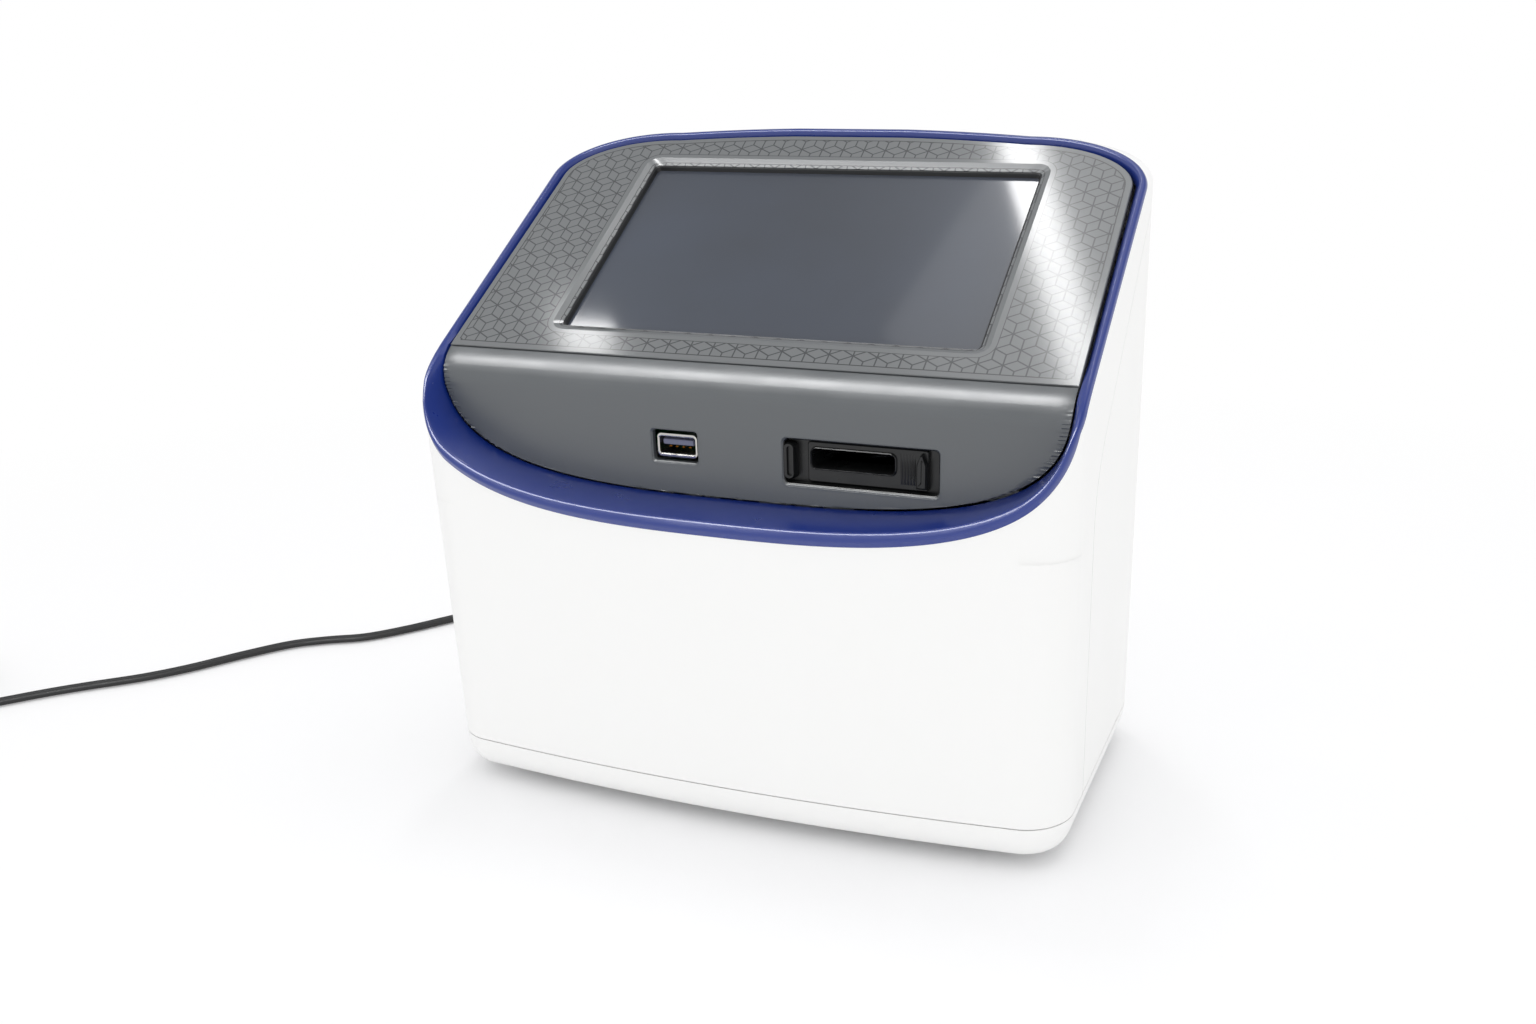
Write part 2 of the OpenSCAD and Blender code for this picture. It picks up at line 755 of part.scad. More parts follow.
// the tunnel leaves room for the changer at both ends of its travel
frame_w = cube_pitch + changer_w + 2 * (changer_gap + frame_t);
frame_x0 = slot_x - frame_w / 2;
frame_y0 = axis_y - 20;
stage_t = 3;
deck_z = slot_z - slot_h / 2 - stage_t;
bay_z = 52;
cube_z = bay_z + 3;
focus_z = cube_z + cube_h + 7.5 + focus_travel;

module chassis() {
    color("lightgray") difference() {
        translate([-chassis_w / 2, chassis_y, chassis_z]) cube([chassis_w, chassis_d, chassis_t]);
        for (p = screw_places()) translate([p.x, p.y, chassis_z - 1]) cylinder(d = 3.2, h = 8);
    }
}

// Machined tunnel frame: floor, two side plates and a deck over the cube changer
module optics_frame() {
    h = deck_z - frame_z;
    color("silver") difference() {
        translate([frame_x0, frame_y0, frame_z]) cube([frame_w, frame_d, h]);
        translate([frame_x0 + frame_t, frame_y0 - 1, frame_z + deck_t]) cube([frame_w - 2 * frame_t,
            frame_d + 2, h - 2 * deck_t]);
        translate([slot_x, axis_y, deck_z - deck_t - 1]) cylinder(d = objective_d + 6, h = 10);
        translate([actuator_x(), axis_y, deck_z - deck_t - 1]) cylinder(d = actuator_d + 3, h = 10);
        for (y = rail_ys()) translate([frame_x0 - 1, y, rail_z()]) rotate([0, 90, 0])
            cylinder(d = rail_d, h = frame_w + 2);
    }
}

function rail_ys() = [axis_y + 26, axis_y + 56];
function rail_z() = bay_z - rail_d / 2 - 3;
function actuator_x() = slot_x + 30;

module slide_stage() {
    color("dimgray") difference() {
        translate([slot_x - slot_w / 2 - 4, axis_y - 14, deck_z]) cube([slot_w + 8, 44,
            stage_t + 2]);
        translate([slot_x - slot_w / 2, axis_y - 15, deck_z + stage_t]) cube([slot_w, 42, 10]);
        translate([slot_x, axis_y, deck_z - 1]) cylinder(d = 16, h = 10);
    }
}

module lamp_arm() {
    y0 = axis_y + 32;
    top = deck_z + 22;
    color("silver") {
        translate([slot_x - 8, y0, deck_z]) cube([16, 6, top - deck_z]);
        difference() {
            translate([slot_x - 8, axis_y - 8, top - 3]) cube([16, y0 - axis_y + 8, 3]);
            translate([slot_x, axis_y, top - 5]) cylinder(d = 8, h = 8);
        }
    }
}

module lamp() {
    top = deck_z + 19;
    color("dimgray") translate([slot_x, axis_y, top - 9]) difference() {
        cylinder(d = 15, h = 9);
        translate([0, 0, -1]) cylinder(d = 10, h = 5);
    }
}

module camera() {
    z = frame_z + deck_t;
    color("black") {
        translate([slot_x - 16, axis_y - 16, z]) cube([32, 32, 22]);
        translate([slot_x, axis_y, z + 22 - eps]) difference() {
            cylinder(d = 20, h = 10);
            translate([0, 0, 5]) cylinder(d = 15, h = 10);
        }
    }
}

module cube_rails() {
    color("silver") for (y = rail_ys()) translate([frame_x0, y, rail_z()]) rotate([0, 90, 0])
        cylinder(d = rail_d, h = frame_w);
}

// Carriage at its right-hand stop: the left bay is on the optical axis
module cube_carriage() {
    w = changer_w;
    x0 = slot_x + cube_pitch / 2 - w / 2;
    y0 = axis_y - 16;
    color("gray") difference() {
        union() {
            translate([x0, y0, bay_z]) cube([w, cube_l + 4, cube_z - bay_z]);
            for (x = [x0, x0 + w / 2 - 0.8, x0 + w - 1]) translate([x, y0, bay_z]) cube([1, cube_l
                + 4, cube_z - bay_z + 9]);
            for (y = rail_ys()) translate([x0, y - 5, rail_z() - 5]) cube([w, 10, bay_z - rail_z()
                + 5 + eps]);
        }
        for (k = [0, 1]) translate([slot_x + k * cube_pitch, axis_y, bay_z - 1]) cylinder(d = 18,
            h = 8);
        for (y = rail_ys()) translate([x0 - 1, y, rail_z()]) rotate([0, 90, 0])
            cylinder(d = rail_d + 2 * run_fit, h = w + 2);
    }
}

// A light cube: filter block with a vertical light path, finned lamp end and a pull
module light_cube(k) {
    x = slot_x + k * cube_pitch - cube_w / 2;
    y0 = axis_y - 14;
    difference() {
        translate([x, y0, cube_z]) cube([cube_w, cube_l, cube_h]);
        translate([x + cube_w / 2, axis_y, cube_z - 1]) cylinder(d = 15, h = cube_h + 2);
        for (i = [0:5]) translate([x - 1, y0 + cube_l - 24 + i * 4, cube_z + 8]) cube([5, 2,
            cube_h]);
        for (i = [0:5]) translate([x + cube_w - 4, y0 + cube_l - 24 + i * 4, cube_z + 8]) cube([5,
            2, cube_h]);
    }
    translate([x + cube_w / 2 - 7, y0 + cube_l - eps, cube_z + 12]) cube([14, 4, 8]);
}

module light_cube_a() { color("black") light_cube(0); }
module light_cube_b() { color("darkslategray") light_cube(1); }

module focus_rail() {
    color("silver") translate([frame_x0 + frame_w - frame_t - 4, axis_y - 6, focus_z - 6]) cube([4,
        12, deck_z - deck_t - focus_z + 6]);
}

module focus_carriage() {
    x1 = frame_x0 + frame_w - frame_t - 4 - 0.3;
    color("gray") difference() {
        union() {
            translate([slot_x - 14, axis_y - 12, focus_z]) cube([x1 - slot_x + 14, 24, 4]);
            translate([x1 - 3, axis_y - 12, focus_z]) cube([3, 24, 14]);
            for (s = [-1, 1]) translate([x1 - eps, axis_y + s * 8 - 1.7, focus_z]) cube([3, 3.4, 14]);
        }
        translate([slot_x, axis_y, focus_z - 1]) cylinder(d = 14, h = 8);
    }
}

module objective() {
    z = focus_z + 4;
    color("silver") translate([slot_x, axis_y, z]) rotate_extrude() polygon([[4, 0],
        [objective_d / 2, 0], [objective_d / 2, 10], [7, 15.5], [3, 15.5], [3, 14], [4, 12]]);
}

module focus_motor() {
    color("dimgray") translate([actuator_x(), axis_y, deck_z]) difference() {
        union() {
            cylinder(d = 22, h = 11);
            translate([-7, -4, 11 - eps]) cube([14, 8, 3]);
        }
        translate([0, 0, -1]) cylinder(d = actuator_d + 2 * run_fit, h = 10);
    }
}

module actuator_shaft() {
    z0 = focus_z + 4;
    color("silver") translate([actuator_x(), axis_y, z0]) cylinder(d = actuator_d,
        h = deck_z + 5 - z0);
}

// ---------- electronics ----------

supply_y = chassis_y + chassis_d - supply_d - 2;
board_x0 = 2 - chassis_w / 2;
board_y0 = chassis_y + 6;
board_w = frame_x0 - board_gap - board_x0;
board_d = supply_y - supply_gap - board_y0;
board_z = chassis_z + chassis_t + spacer_h;

module main_board() {
    color("darkgreen") difference() {
        union() {
            translate([board_x0, board_y0, board_z]) cube([board_w, board_d, board_t]);
            for (k = [0:3]) translate([board_x0 + 6 + k * 17, board_y0 + 2, board_z + board_t
                - eps]) cube([12, 6, 6]);
            for (k = [0:2]) translate([board_x0 + 50, board_y0 + 18 + k * 15, board_z + board_t
                - eps]) cube([20, 10, 1.6]);
        }
        for (p = board_corners()) translate([p.x, p.y, board_z - 1]) cylinder(d = 3.4, h = 5);
    }
}

function board_corners() = [for (x = [5, board_w - 5], y = [14, board_d - 6]) [board_x0 + x,
    board_y0 + y]];

module board_spacers() {
    color("gold") for (p = board_corners()) translate([p.x, p.y, chassis_z + chassis_t]) {
        cylinder(d = 6, h = spacer_h);
        translate([0, 0, spacer_h - eps]) cylinder(d = 3, h = board_t + 2);
    }
}

module heat_sink() {
    color("gray") translate([board_x0 + 14, board_y0 + 26, board_z + board_t]) {
        cube([28, 28, 3]);
        for (k = [0:6]) translate([k * 4.4, 0, 3 - eps]) cube([1.6, 28, 8]);
    }
}

supply_w = board_w - 2;

module power_supply() {
    color("gray") difference() {
        translate([board_x0, supply_y, frame_z]) cube([supply_w, supply_d, supply_h]);
        for (k = [0:7]) translate([board_x0 + supply_w * (k + 0.6) / 9, supply_y - 1, frame_z
            + supply_h - 4]) cube([4, supply_d + 2, 10]);
    }
}

// ---------- rear panel ----------

// Door with a rounded lower edge that turns about its own two moulded pins
module cube_door() {
    g = fascia_gap;
    w = door_w - 2 * g;
    r = wall / 2;
    top = door_z - r - g + door_h - g;
    color("white") translate([door_x, rear_y - r, 0]) {
        difference() {
            translate([-w / 2, -r, door_z]) cube([w, wall, top - door_z]);
            hull() for (x = [-11, 11]) translate([x, r + 2.4, top]) sphere(r = 4, $fn = 32);
        }
        translate([-w / 2, 0, door_z]) rotate([0, 90, 0]) cylinder(r = r, h = w);
        for (s = [-1, 1]) translate([s * (w / 2 + 1.2) - 1.6, 0, door_z]) rotate([0, 90, 0])
            cylinder(d = door_pin_d, h = 3.2);
    }
}

panel_y = rear_y - pocket_depth;
rocker_y = panel_y + 0.2;
switch_w = 15;
inlet_x = inlet_side - half_w;
switch_x = inlet_x + switch_pitch;
switch_h = 21;
switch_lip = 1;
inlet_w = 30;
inlet_h = 20;
inlet_lip = 2.5;

module switch_frame() {
    color("black") difference() {
        union() {
            translate([switch_x - switch_w / 2, panel_y, power_z - switch_h / 2]) cube([switch_w, 2,
                switch_h]);
            translate([switch_x - 6.4, panel_y - 16, power_z - 9.4]) cube([12.8, 16 + eps, 18.8]);
        }
        translate([switch_x - 5.6, rocker_y - 5.5, power_z - 9]) cube([11.2, 12, 18]);
        translate([switch_x - 6.2, rocker_y, power_z]) rotate([0, 90, 0])
            cylinder(r = 1 + run_fit, h = 12.4);
    }
}

module rocker() {
    color("black") translate([switch_x, rocker_y, power_z]) rotate([rocker_tilt, 0, 0]) {
        rotate([90, 0, 90]) translate([0, 0, -5.4]) linear_extrude(10.8) polygon([[-3, -6.4],
            [3, -8.2], [1.9, 0], [3, 8.2], [-3, 6.4]]);
        translate([-6.1, 0, 0]) rotate([0, 90, 0]) cylinder(r = 1, h = 12.2);
    }
}

// Two-pin appliance inlet with a figure-of-eight mouth
module figure_eight(grow) {
    hull() for (s = [-1, 1]) translate([s * 4.3, 0]) circle(r = 4.6 + grow, $fn = 32);
}

module power_inlet() {
    color("black") difference() {
        union() {
            translate([inlet_x - inlet_w / 2, panel_y, power_z - inlet_h / 2]) cube([inlet_w, 2,
                inlet_h]);
            translate([inlet_x - 12, panel_y - 15, power_z - 7.2]) cube([24, 15 + eps, 14.4]);
        }
        translate([inlet_x, panel_y + 3, power_z]) rotate([90, 0, 0]) linear_extrude(14)
            figure_eight(0.4);
    }
}

module inlet_pins() {
    color("silver") for (s = [-1, 1]) translate([inlet_x + s * 4.3, panel_y - 11, power_z])
        rotate([-90, 0, 0]) cylinder(d = 2.4, h = 9);
}

// ---------- power lead ----------

plug_in = 9;
connector_l = 22;
relief_l = 24;
connector_y = panel_y + 2.3;
exit_y = connector_y + connector_l + relief_l;

module cord_connector() {
    color("black") difference() {
        union() {
            translate([inlet_x, connector_y + connector_l, power_z]) rotate([90, 0, 0])
                linear_extrude(connector_l) hull() for (s = [-1, 1]) translate([s * 4.6, 0])
                    circle(r = 6, $fn = 32);
            translate([inlet_x, connector_y + eps, power_z]) rotate([90, 0, 0])
                linear_extrude(plug_in) figure_eight(0);
        }
        for (s = [-1, 1]) translate([inlet_x + s * 4.3, panel_y - 12, power_z]) rotate([-90, 0, 0])
            cylinder(d = 2.6, h = 14);
    }
}

// Tapered relief with a waisted rib pattern
module strain_relief() {
    color("black") translate([inlet_x, connector_y + connector_l, power_z]) rotate([-90, 0, 0])
        rotate_extrude() polygon(concat([[0, 0]], [for (k = [0:11]) [5.2
        - 2.1 * k / 11 - (k % 2 == 1 ? 0.7 : 0), relief_l * k / 11]], [[0, relief_l]]));
}

// Route of the lead's middle from the strain relief over the table to the coil
floor_z = cord_t / 2 + 0.2;
route = [[inlet_x, exit_y, power_z], [-75, 127, 36], [-80, 140, 29], [-90, 151, 20], [-105, 158, 11],
    [-124, 157, 5], [-143, 149, floor_z], [-162, 134, floor_z], [-180, 114, floor_z],
    [-196, 92, floor_z], [-210, 70, floor_z], [-221, 52, floor_z], [-233, 37, floor_z],
    [-247, 28, floor_z], [-259, 18, floor_z], [-270, 1, floor_z], [-281, -19, floor_z],
    [-292, -34, floor_z], [-306, -48, floor_z], [-317, -60, floor_z], [-328, -74, floor_z],
    [-341, -89, floor_z], [-354, -104, floor_z]];

function smooth(p, k, t) = let (a = p[max(k - 1, 0)], b = p[k], c = p[k + 1], d = p[min(k + 2,
    len(p) - 1)]) 0.5 * (2 * b + (c - a) * t + (2 * a - 5 * b + 4 * c - d) * t * t
    + (3 * b - a - 3 * c + d) * t * t * t);
function unit(v) = v / norm(v);
cord_line = concat([for (k = [0:len(route) - 2], j = [0, 1]) smooth(route, k, j / 2)],
    [route[len(route) - 1]]);
cord_sides = 8;
function ring(k) =
    let (n = len(cord_line), a = cord_line[max(k - 1, 0)], b = cord_line[min(k + 1, n - 1)],
        t = unit(b - a), s = unit(cross(t, [0, 0, 1])), u = cross(s, t))
    [for (j = [0:cord_sides - 1]) let (q = 360 * (j + 0.5) / cord_sides) cord_line[k]
        + s * cord_w / 2 * cos(q) + u * cord_t / 2 * sin(q)];

module cord() {
    n = len(cord_line);
    points = [for (k = [0:n - 1]) each ring(k)];
    sides = [for (k = [0:n - 2], j = [0:cord_sides - 1]) let (m = (j + 1) % cord_sides) [
        k * cord_sides + j, k * cord_sides + m, (k + 1) * cord_sides + m, (k + 1) * cord_sides + j]];
    first = [for (j = [cord_sides - 1:-1:0]) j];
    last = [for (j = [0:cord_sides - 1]) (n - 1) * cord_sides + j];
    color("black") polyhedron(points, concat(sides, [first, last]), convexity = 6);
}

// Six turns, three high and two wide
coil_r = 29;
turn_gap = 0.3;
coil_turns_high = 3;
coil_heading = unit(route[len(route) - 1] - route[len(route) - 2]);
outer_turn_r = coil_r + (cord_w + turn_gap) / 2;
coil_centre = route[len(route) - 1] + outer_turn_r * [coil_heading.y, -coil_heading.x, 0];
tail_l = 20;

// The coil as one ring, with the short tail that leads from its outer turn to the plug
module cord_coil() {
    half = cord_w + turn_gap;
    color("black") translate([coil_centre.x, coil_centre.y, 0]) {
        translate([0, 0, 0.2]) rotate_extrude($fn = 64) translate([coil_r - half, 0])
            square([2 * half, coil_turns_high * (cord_t + turn_gap)]);
        translate([-tail_l, -outer_turn_r - cord_w / 2, plug_h / 2 - cord_t / 2])
            cube([tail_l, cord_w, cord_t]);
    }
}

module cord_tie() {
    half = cord_w + turn_gap + 1.2;
    h = coil_turns_high * (cord_t + turn_gap) + 0.4;
    color("black") translate([coil_centre.x, coil_centre.y + coil_r, 0]) difference() {
        translate([-3, -half, 0]) cube([6, 2 * half, h + 1]);
        translate([-4, -half + 0.8, 0.15]) cube([8, 2 * half - 1.6, h + 0.1]);
    }
}

// Two-blade plug lying flat on the table beside the coil
plug_l = 34;
plug_w = 23;
plug_h = 16;
plug_relief_l = 20;
blade_pitch = 12.7;
blade_l = 17;
blade_w = 6.4;
blade_t = 1.5;
plug_tip = [coil_centre.x - tail_l, coil_centre.y - outer_turn_r, plug_h / 2];

module mains_plug() {
    color("black") translate(plug_tip - [plug_relief_l + plug_l, 0, 0]) {
        hull() {
            translate([0, -plug_w / 2, -plug_h / 2]) cube([plug_l - 12, plug_w, plug_h]);
            translate([plug_l - 4, -5, -5]) cube([4, 10, 10]);
        }
        translate([plug_l - eps, 0, 0]) rotate([0, 90, 0]) cylinder(r1 = 4.6, r2 = 3,
            h = plug_relief_l);
    }
}

module plug_blades() {
    color("silver") for (s = [-1, 1]) translate(plug_tip - [plug_relief_l + plug_l + blade_l,
        s * blade_pitch / 2 + blade_t / 2, blade_w / 2]) cube([blade_l, blade_t, blade_w]);
}

front_housing();
rear_housing();
base_pan();
feet();
base_screws();
rim();
overlay();
touch_glass();
display_module();
display_carrier();
lower_fascia();
usb_shell();
usb_tongue();
usb_board();
slide_port();
slide_guides();
chassis();
optics_frame();
slide_stage();
lamp_arm();
lamp();
camera();
cube_rails();
cube_carriage();
light_cube_a();
light_cube_b();
focus_rail();
focus_carriage();
objective();
focus_motor();
actuator_shaft();
main_board();
board_spacers();
heat_sink();
power_supply();
cube_door();
switch_frame();
rocker();
power_inlet();
inlet_pins();
cord_connector();
strain_relief();
cord();
cord_coil();
cord_tie();
mains_plug();
plug_blades();
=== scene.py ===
import math
import bmesh
import bpy
import numpy as np
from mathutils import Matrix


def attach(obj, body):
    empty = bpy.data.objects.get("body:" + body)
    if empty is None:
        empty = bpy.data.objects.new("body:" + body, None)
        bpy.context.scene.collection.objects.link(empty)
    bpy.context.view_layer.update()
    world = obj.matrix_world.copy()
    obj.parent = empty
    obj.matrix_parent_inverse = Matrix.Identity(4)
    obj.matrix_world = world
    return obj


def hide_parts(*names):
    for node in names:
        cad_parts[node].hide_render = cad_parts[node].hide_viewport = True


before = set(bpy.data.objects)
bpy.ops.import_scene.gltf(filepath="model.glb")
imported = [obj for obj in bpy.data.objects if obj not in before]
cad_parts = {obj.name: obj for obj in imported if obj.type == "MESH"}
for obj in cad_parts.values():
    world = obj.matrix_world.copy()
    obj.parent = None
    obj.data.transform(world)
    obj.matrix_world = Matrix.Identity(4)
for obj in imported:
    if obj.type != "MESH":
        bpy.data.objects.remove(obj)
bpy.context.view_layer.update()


# Base pan: a shallow moulded tray in white ABS that carries the works. It tucks in under the
# housing, its lower edge is rounded, and four screws hold it to the chassis.
half_width, side_draft = 114.4, 3.4
front_y, front_lean, front_bow, bow_fade = -67.0, 3.0, 6.9, 40.0
rear_y, roof_edge = 70.0, 11.0
front_corner, rear_corner = 15.0, 24.0
seam_z, nose_z, roof_z, rim_top_z = 16.0, 105.6, 224.0, 221.0
shoulder_w, shoulder_h, crown_rise = 44.0, 14.6, 2.0
shoulder_z = rim_top_z - crown_rise - shoulder_h
steps = 900
weld = 3e-6


def back_y(z):
    """Depth of the back at height z: upright, then a quarter circle of radius 11 to the roof."""
    edge = np.clip((z - rim_top_z + roof_edge) / roof_edge, 0, 1)
    return rear_y - roof_edge * (1 - np.sqrt(1 - edge * edge))


def half_outline(z):
    """Half of the housing's outline at each height z, from the middle of the front round the right
    side to the middle of the back: a straight front, an arc, a straight side, an arc and a
    straight back. Everything in front of the middle moves back by bow * (x / width)^2. It is then
    cut by the roof: a quarter ellipse at the shoulder, a shallow parabola above it, and back_y."""
    z = np.asarray(z, float)[:, None]
    w = half_width - side_draft * (z - seam_z) / (roof_z - seam_z)
    q = np.clip((z - shoulder_z) / shoulder_h, 0, 1)
    crown_z = shoulder_z + shoulder_h
    crown = np.sqrt(np.clip((rim_top_z - z) / (rim_top_z - crown_z), 0, 1))
    cut = np.where(z <= crown_z, w - shoulder_w * (1 - np.sqrt(1 - q * q)),
                   (w - shoulder_w) * crown)
    lean = front_y - front_lean * (z - seam_z) / (nose_z - seam_z)
    rf, rr = front_corner, rear_corner
    lengths = [w - rf, rf * math.pi / 2 + 0 * w, rear_y - rr - lean - rf, rr * math.pi / 2 + 0 * w,
               w - rr]
    c1, c2, c3, c4, c5 = np.cumsum(lengths, axis=0)
    s = c5 * np.linspace(0, 1, steps)[None]
    a = np.clip((s - c1) / rf, 0, math.pi / 2)
    b = np.clip((s - c3) / rr, 0, math.pi / 2)
    x = np.minimum(s, w - rf) + rf * np.sin(a) - rr * (1 - np.cos(b)) - np.clip(s - c4, 0, None)
    y = lean + rf * (1 - np.cos(a)) + np.clip(s - c2, 0, c3 - c2) + rr * np.sin(b)
    y = y + front_bow * (x / w) ** 2 * np.clip((rear_y - rr - y) / bow_fade, 0, 1)
    return np.minimum(x, cut), np.minimum(y, back_y(z))


def grid_of(x, y, z):
    """Points (x, y, z) from three arrays that are stretched to one shape."""
    return np.stack(np.broadcast_arrays(x, y, z), -1)


def row_of(z, start, end, columns):
    """Points of the half outline at heights z between two places on it, start and end, counted
    in outline steps; columns says how far along each point is, from 0 to 1."""
    x, y = half_outline(z)
    place = start[:, None] + (end - start)[:, None] * columns[None]
    low = np.clip(np.floor(place).astype(int), 0, steps - 2)
    part = place - low
    row = np.arange(len(z))[:, None]
    mix = lambda v: v[row, low] * (1 - part) + v[row, low + 1] * part
    return grid_of(mix(x), mix(y), z[:, None])


def points_at(z, place):
    """The points at those places on the half outline, one per height z."""
    return row_of(z, place, place, np.array([0.0]))[:, 0]


def mirrored(grid):
    """The grid's mirror image in x, with its columns turned round so that it faces outwards."""
    return grid[:, ::-1] * [-1, 1, 1]


def skin(name, patches, sharp=32, uvs=()):
    """A mesh of grids of points in millimetres, four-sided faces between neighbours, with points
    that meet welded and sides of no length left out. Each of uvs is a name and one (u, v) grid
    per patch."""
    points, faces, count = [], [], 0
    for patch in patches:
        m, n = patch.shape[:2]
        k = np.arange(m * n).reshape(m, n) + count
        points.append(patch.reshape(-1, 3) / 1000)
        faces.append(np.stack([k[:-1, :-1], k[:-1, 1:], k[1:, 1:], k[1:, :-1]], -1).reshape(-1, 4))
        count += m * n
    points, faces = np.concatenate(points), np.concatenate(faces)
    _, first, same = np.unique(np.round(points / weld).astype(np.int64), axis=0, return_index=True,
                               return_inverse=True)
    welded = same.reshape(-1)[faces]
    fresh = welded != np.roll(welded, 1, axis=1)
    kept = fresh.sum(axis=1) > 2
    welded, fresh, faces = welded[kept], fresh[kept], faces[kept]
    mesh = bpy.data.meshes.new(name)
    corners = [f[k].tolist() for f, k in zip(welded, fresh)]
    mesh.from_pydata(points[first].tolist(), [], corners)
    source = faces[fresh]
    for title, grids in uvs:
        layer = mesh.uv_layers.new(name=title)
        values = np.concatenate([g.reshape(-1, 2) for g in grids])[source]
        layer.data.foreach_set("uv", values.astype(np.float32).ravel())
    piece = bpy.data.objects.new(name, mesh)
    bpy.context.scene.collection.objects.link(piece)
    return shaded(piece, sharp)


def shaded(piece, sharp=32):
    """Smooth shading that breaks at edges sharper than that angle."""
    mesh = piece.data
    mesh.polygons.foreach_set("use_smooth", np.ones(len(mesh.polygons), bool))
    mesh.set_sharp_from_angle(angle=math.radians(sharp))
    return piece


def walled(piece, thickness):
    """Gives an open sheet a wall of that thickness in mm, towards its inner side."""
    thick = piece.modifiers.new("wall", "SOLIDIFY")
    thick.thickness = thickness / 1000
    thick.offset = -1
    bpy.context.view_layer.update()
    solid = bpy.data.meshes.new_from_object(
        piece.evaluated_get(bpy.context.evaluated_depsgraph_get()))
    piece.modifiers.clear()
    piece.data = solid
    return shaded(piece)


def without(piece, *holes):
    """Takes out the faces whose middle lies in one of the rectangles (x span, z span)."""
    mesh, kept = piece.data, []
    for face in mesh.polygons:
        x, _, z = face.center * 1000
        if not any(a < x < b and c < z < d for (a, b), (c, d) in holes):
            kept.append(tuple(face.vertices))
    used = sorted({v for corners in kept for v in corners})
    number = {v: k for k, v in enumerate(used)}
    piece.data = bpy.data.meshes.new(mesh.name)
    piece.data.from_pydata([mesh.vertices[v].co for v in used], [],
                           [[number[v] for v in corners] for corners in kept])
    return shaded(piece)


def srgb(code):
    """A hex colour turned to linear light: ((c + 0.055) / 1.055)^2.4 above 0.04045."""
    c = np.array([int(code[k:k + 2], 16) / 255 for k in (1, 3, 5)])
    c = np.where(c <= 0.04045, c / 12.92, ((c + 0.055) / 1.055) ** 2.4)
    return (*c.tolist(), 1.0)


def add(tree, kind, links=(), **settings):
    """Adds a shader node, sets its properties or inputs by name and links its inputs."""
    node = tree.nodes.new(kind)
    for key, value in settings.items():
        if hasattr(node, key):
            setattr(node, key, value)
        else:
            node.inputs[key.replace("_", " ")].default_value = value
    for socket, source in links:
        tree.links.new(source, node.inputs[socket])
    return node


def ranged(tree, value, from_low, from_high, to_low=0.0, to_high=1.0):
    """The value mapped in a straight line from one range to another, and kept in it."""
    return add(tree, "ShaderNodeMapRange", [("Value", value)], From_Min=from_low,
               From_Max=from_high, To_Min=to_low, To_Max=to_high).outputs["Result"]


def blended(tree, factor, low, high):
    """The output of a colour mix, each side of which is a hex colour or a linked output."""
    node = add(tree, "ShaderNodeMix", [("Factor", factor)], data_type="RGBA")
    for socket, side in (("A", low), ("B", high)):
        if isinstance(side, str):
            node.inputs[socket].default_value = srgb(side)
        else:
            tree.links.new(side, node.inputs[socket])
    return node.outputs["Result"]


def noise_at(tree, size, detail=3.0, stretch=(1, 1, 1)):
    """Noise with features of that size in mm, fixed to the object; stretch draws it out."""
    place = add(tree, "ShaderNodeTexCoord")
    scaled = add(tree, "ShaderNodeMapping", [("Vector", place.outputs["Object"])],
                 Scale=tuple(1000 / size / s for s in stretch))
    return add(tree, "ShaderNodeTexNoise", [("Vector", scaled.outputs["Vector"])], Scale=1.0,
               Detail=detail).outputs["Fac"]


def grain(tree, shader, size, height, stretch=(1, 1, 1)):
    """Moulded, cast or brushed texture: that noise as a bump that high in mm."""
    bump = add(tree, "ShaderNodeBump", [("Height", noise_at(tree, size, 3.0, stretch))],
               Strength=1.0, Distance=height / 1000)
    tree.links.new(bump.outputs["Normal"], shader.inputs["Normal"])


def uneven(tree, shader, socket, size, low, high, stretch=(1, 1, 1)):
    """Lets an input wander between low and high with the noise: gloss, or a colour's tint."""
    noise = noise_at(tree, size, 4.0, stretch)
    if isinstance(low, str):
        value = blended(tree, noise, low, high)
    else:
        value = ranged(tree, noise, 0.3, 0.7, low, high)
    tree.links.new(value, shader.inputs[socket])


def finish(name, bump=None, gloss=None, tint=None, **surface):
    """A material with these Principled settings, a bump (size, height, stretch), a roughness that
    wanders as gloss (size, low, high, stretch) and a colour that wanders as tint says."""
    made = bpy.data.materials.new(name)
    made.use_nodes = True
    tree = made.node_tree
    shader = tree.nodes["Principled BSDF"]
    for key, value in surface.items():
        socket = shader.inputs[key.replace("_", " ")]
        socket.default_value = srgb(value) if isinstance(value, str) else value
    if bump:
        grain(tree, shader, *bump)
    if gloss:
        uneven(tree, shader, "Roughness", *gloss)
    if tint:
        uneven(tree, shader, "Base Color", *tint)
    return made


# Injection-moulded ABS with a fine spark-eroded texture: satin, nearly white, with the faint
# unevenness in gloss that handling leaves.
white_abs = finish("moulded_white_abs", (0.35, 0.006), (24, 0.38, 0.5), Base_Color="#f4f4f3",
                   IOR=1.5)


def coat(piece, material):
    """Makes this the piece's only material."""
    piece.data.materials.clear()
    piece.data.materials.append(material)


def wear(piece, material, slot, *nodes):
    """Gives a piece its material, puts it on the housing's body and stands it for nodes. The slot
    is not used."""
    coat(piece, material)
    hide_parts(*nodes)
    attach(piece, "housing")


